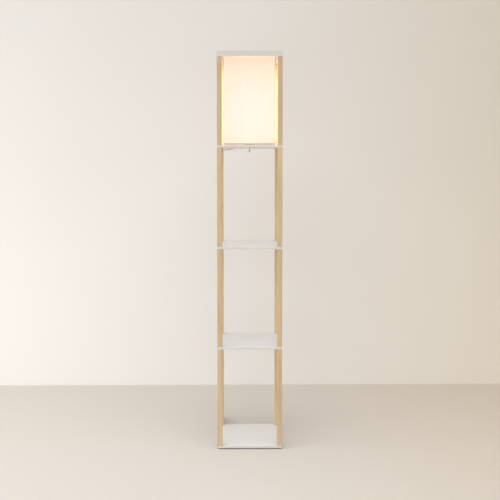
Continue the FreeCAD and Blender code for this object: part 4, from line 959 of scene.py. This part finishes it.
def makePlaster(name, colour, grain, paintedLightTints):
    material = bpy.data.materials.new(name)
    material.use_nodes = True
    tree = material.node_tree
    shader = tree.nodes["Principled BSDF"]
    spot = objectSpot(tree, (-900, 100))
    soft = addNoise(tree, (-700, 100), spot, scale=1.3)
    fine = addNoise(tree, (-700, -150), spot, grain, detail=3)
    darker = tuple(value * room["uneven"] for value in colour)
    mixed = addMix(tree, (-300, 100), soft, colour, darker)
    # each painted light or shade tint grows along one axis
    split = addNode(tree, "ShaderNodeSeparateXYZ", (-900, 400))
    feed(tree, split.inputs[0], spot)
    for axis, low, high, tint in paintedLightTints:
        share = addNode(tree, "ShaderNodeMapRange", (-700, 400), None, {"From Min": low, "From Max": high})
        feed(tree, share.inputs["Value"], split.outputs[axis])
        tinted = addMix(tree, (-200, 300), 1.0, mixed, tint, "MULTIPLY")
        mixed = addMix(tree, (-100, 100), share.outputs["Result"], mixed, tinted)
    feed(tree, shader.inputs["Base Color"], mixed)
    relief = addNode(tree, "ShaderNodeBump", (-300, -200), None, {"Strength": 0.05, "Distance": 0.001})
    feed(tree, relief.inputs["Height"], fine)
    feed(tree, shader.inputs["Normal"], relief.outputs["Normal"])
    setFixed(shader, {"Roughness": 0.9, "Specular IOR Level": 0.15})
    # from behind the sheet is clear, so that the lamp shows from every side
    side = addNode(tree, "ShaderNodeNewGeometry", (-500, -450))
    front = addNode(tree, "ShaderNodeMapRange", (-300, -450), None, {"To Min": 1.0, "To Max": 0.0})
    feed(tree, front.inputs["Value"], side.outputs["Backfacing"])
    feed(tree, shader.inputs["Alpha"], front.outputs["Result"])
    return material


def addPlane(name, material, turn, middle, size):
    bm = bmesh.new()
    bmesh.ops.create_grid(bm, x_segments=1, y_segments=1, size=size / 2)
    bmesh.ops.rotate(bm, cent=(0, 0, 0), matrix=Matrix.Rotation(math.radians(turn), 3, "X"), verts=bm.verts)
    bmesh.ops.translate(bm, vec=middle, verts=bm.verts)
    plane = addPiece(name, bm, material, None, smooth=False)


# painted light and shade: warm and dim to the right, dim towards the top of the wall, and painted shade on
# the floor by the wall
paintedWarmLight = ("X", *room["rightReach"], room["right"])
paintedDimTop = ("Z", *room["highReach"], room["high"])
paintedWallShade = ("Y", room["deepFrom"], room["wallY"], room["deep"])
floorPaint = makePlaster("paleFloor", room["floorColour"], room["floorGrain"], [paintedWarmLight, paintedWallShade])
wallPaint = makePlaster("paleWall", room["wallColour"], room["wallGrain"], [paintedWarmLight, paintedDimTop])
addPlane("floor", floorPaint, 0, (0, room["wallY"] + room["behindWall"] - room["size"] / 2, 0), room["size"])
addPlane("wall", wallPaint, 90, (0, room["wallY"], room["aboveFloor"] - room["size"] / 2), room["size"])


# two soft windows, and an even light from far above
lights = {
    "windowLight": {"spot": (-3.2, -0.9, 1.0), "aim": (0, 0, 0.4), "size": 1.2, "energy": 27,
                    "colour": (0.97, 0.99, 1.0)},
    "frontLight": {"spot": (-0.4, -4.4, 0.5), "aim": (0, 0, 0.5), "size": 2.6, "energy": 16,
                   "colour": (1.0, 0.98, 0.95)},
    "skyLight": {"turn": (24, 0, -12), "spread": 75, "energy": 2.95, "colour": (0.94, 0.965, 1.0)},
}
surround = {"colour": (1.0, 0.96, 0.905), "strength": 0.34}


def addLight(name, kind, numbers):
    lamp = bpy.data.lights.new(name, kind)
    lamp.energy = numbers["energy"]
    lamp.color = numbers["colour"]
    holder = bpy.data.objects.new(name, lamp)
    if kind == "AREA":
        lamp.shape = "DISK"
        lamp.size = numbers["size"]
        holder.location = numbers["spot"]
        way = Vector(numbers["aim"]) - holder.location
        holder.rotation_euler = way.to_track_quat("-Z", "Y").to_euler()
        holder.visible_camera = False
    else:
        lamp.angle = math.radians(numbers["spread"])
        holder.rotation_euler = [math.radians(angle) for angle in numbers["turn"]]
    scene.collection.objects.link(holder)


for name, numbers in lights.items():
    addLight(name, "AREA" if "size" in numbers else "SUN", numbers)
world = bpy.data.worlds.new("softRoom")
world.use_nodes = True
background = world.node_tree.nodes["Background"].inputs
background["Color"].default_value = (*surround["colour"], 1)
background["Strength"].default_value = surround["strength"]
scene.world = world
scene.view_settings.view_transform = "Standard"
print("camera, floor, wall and lights set")
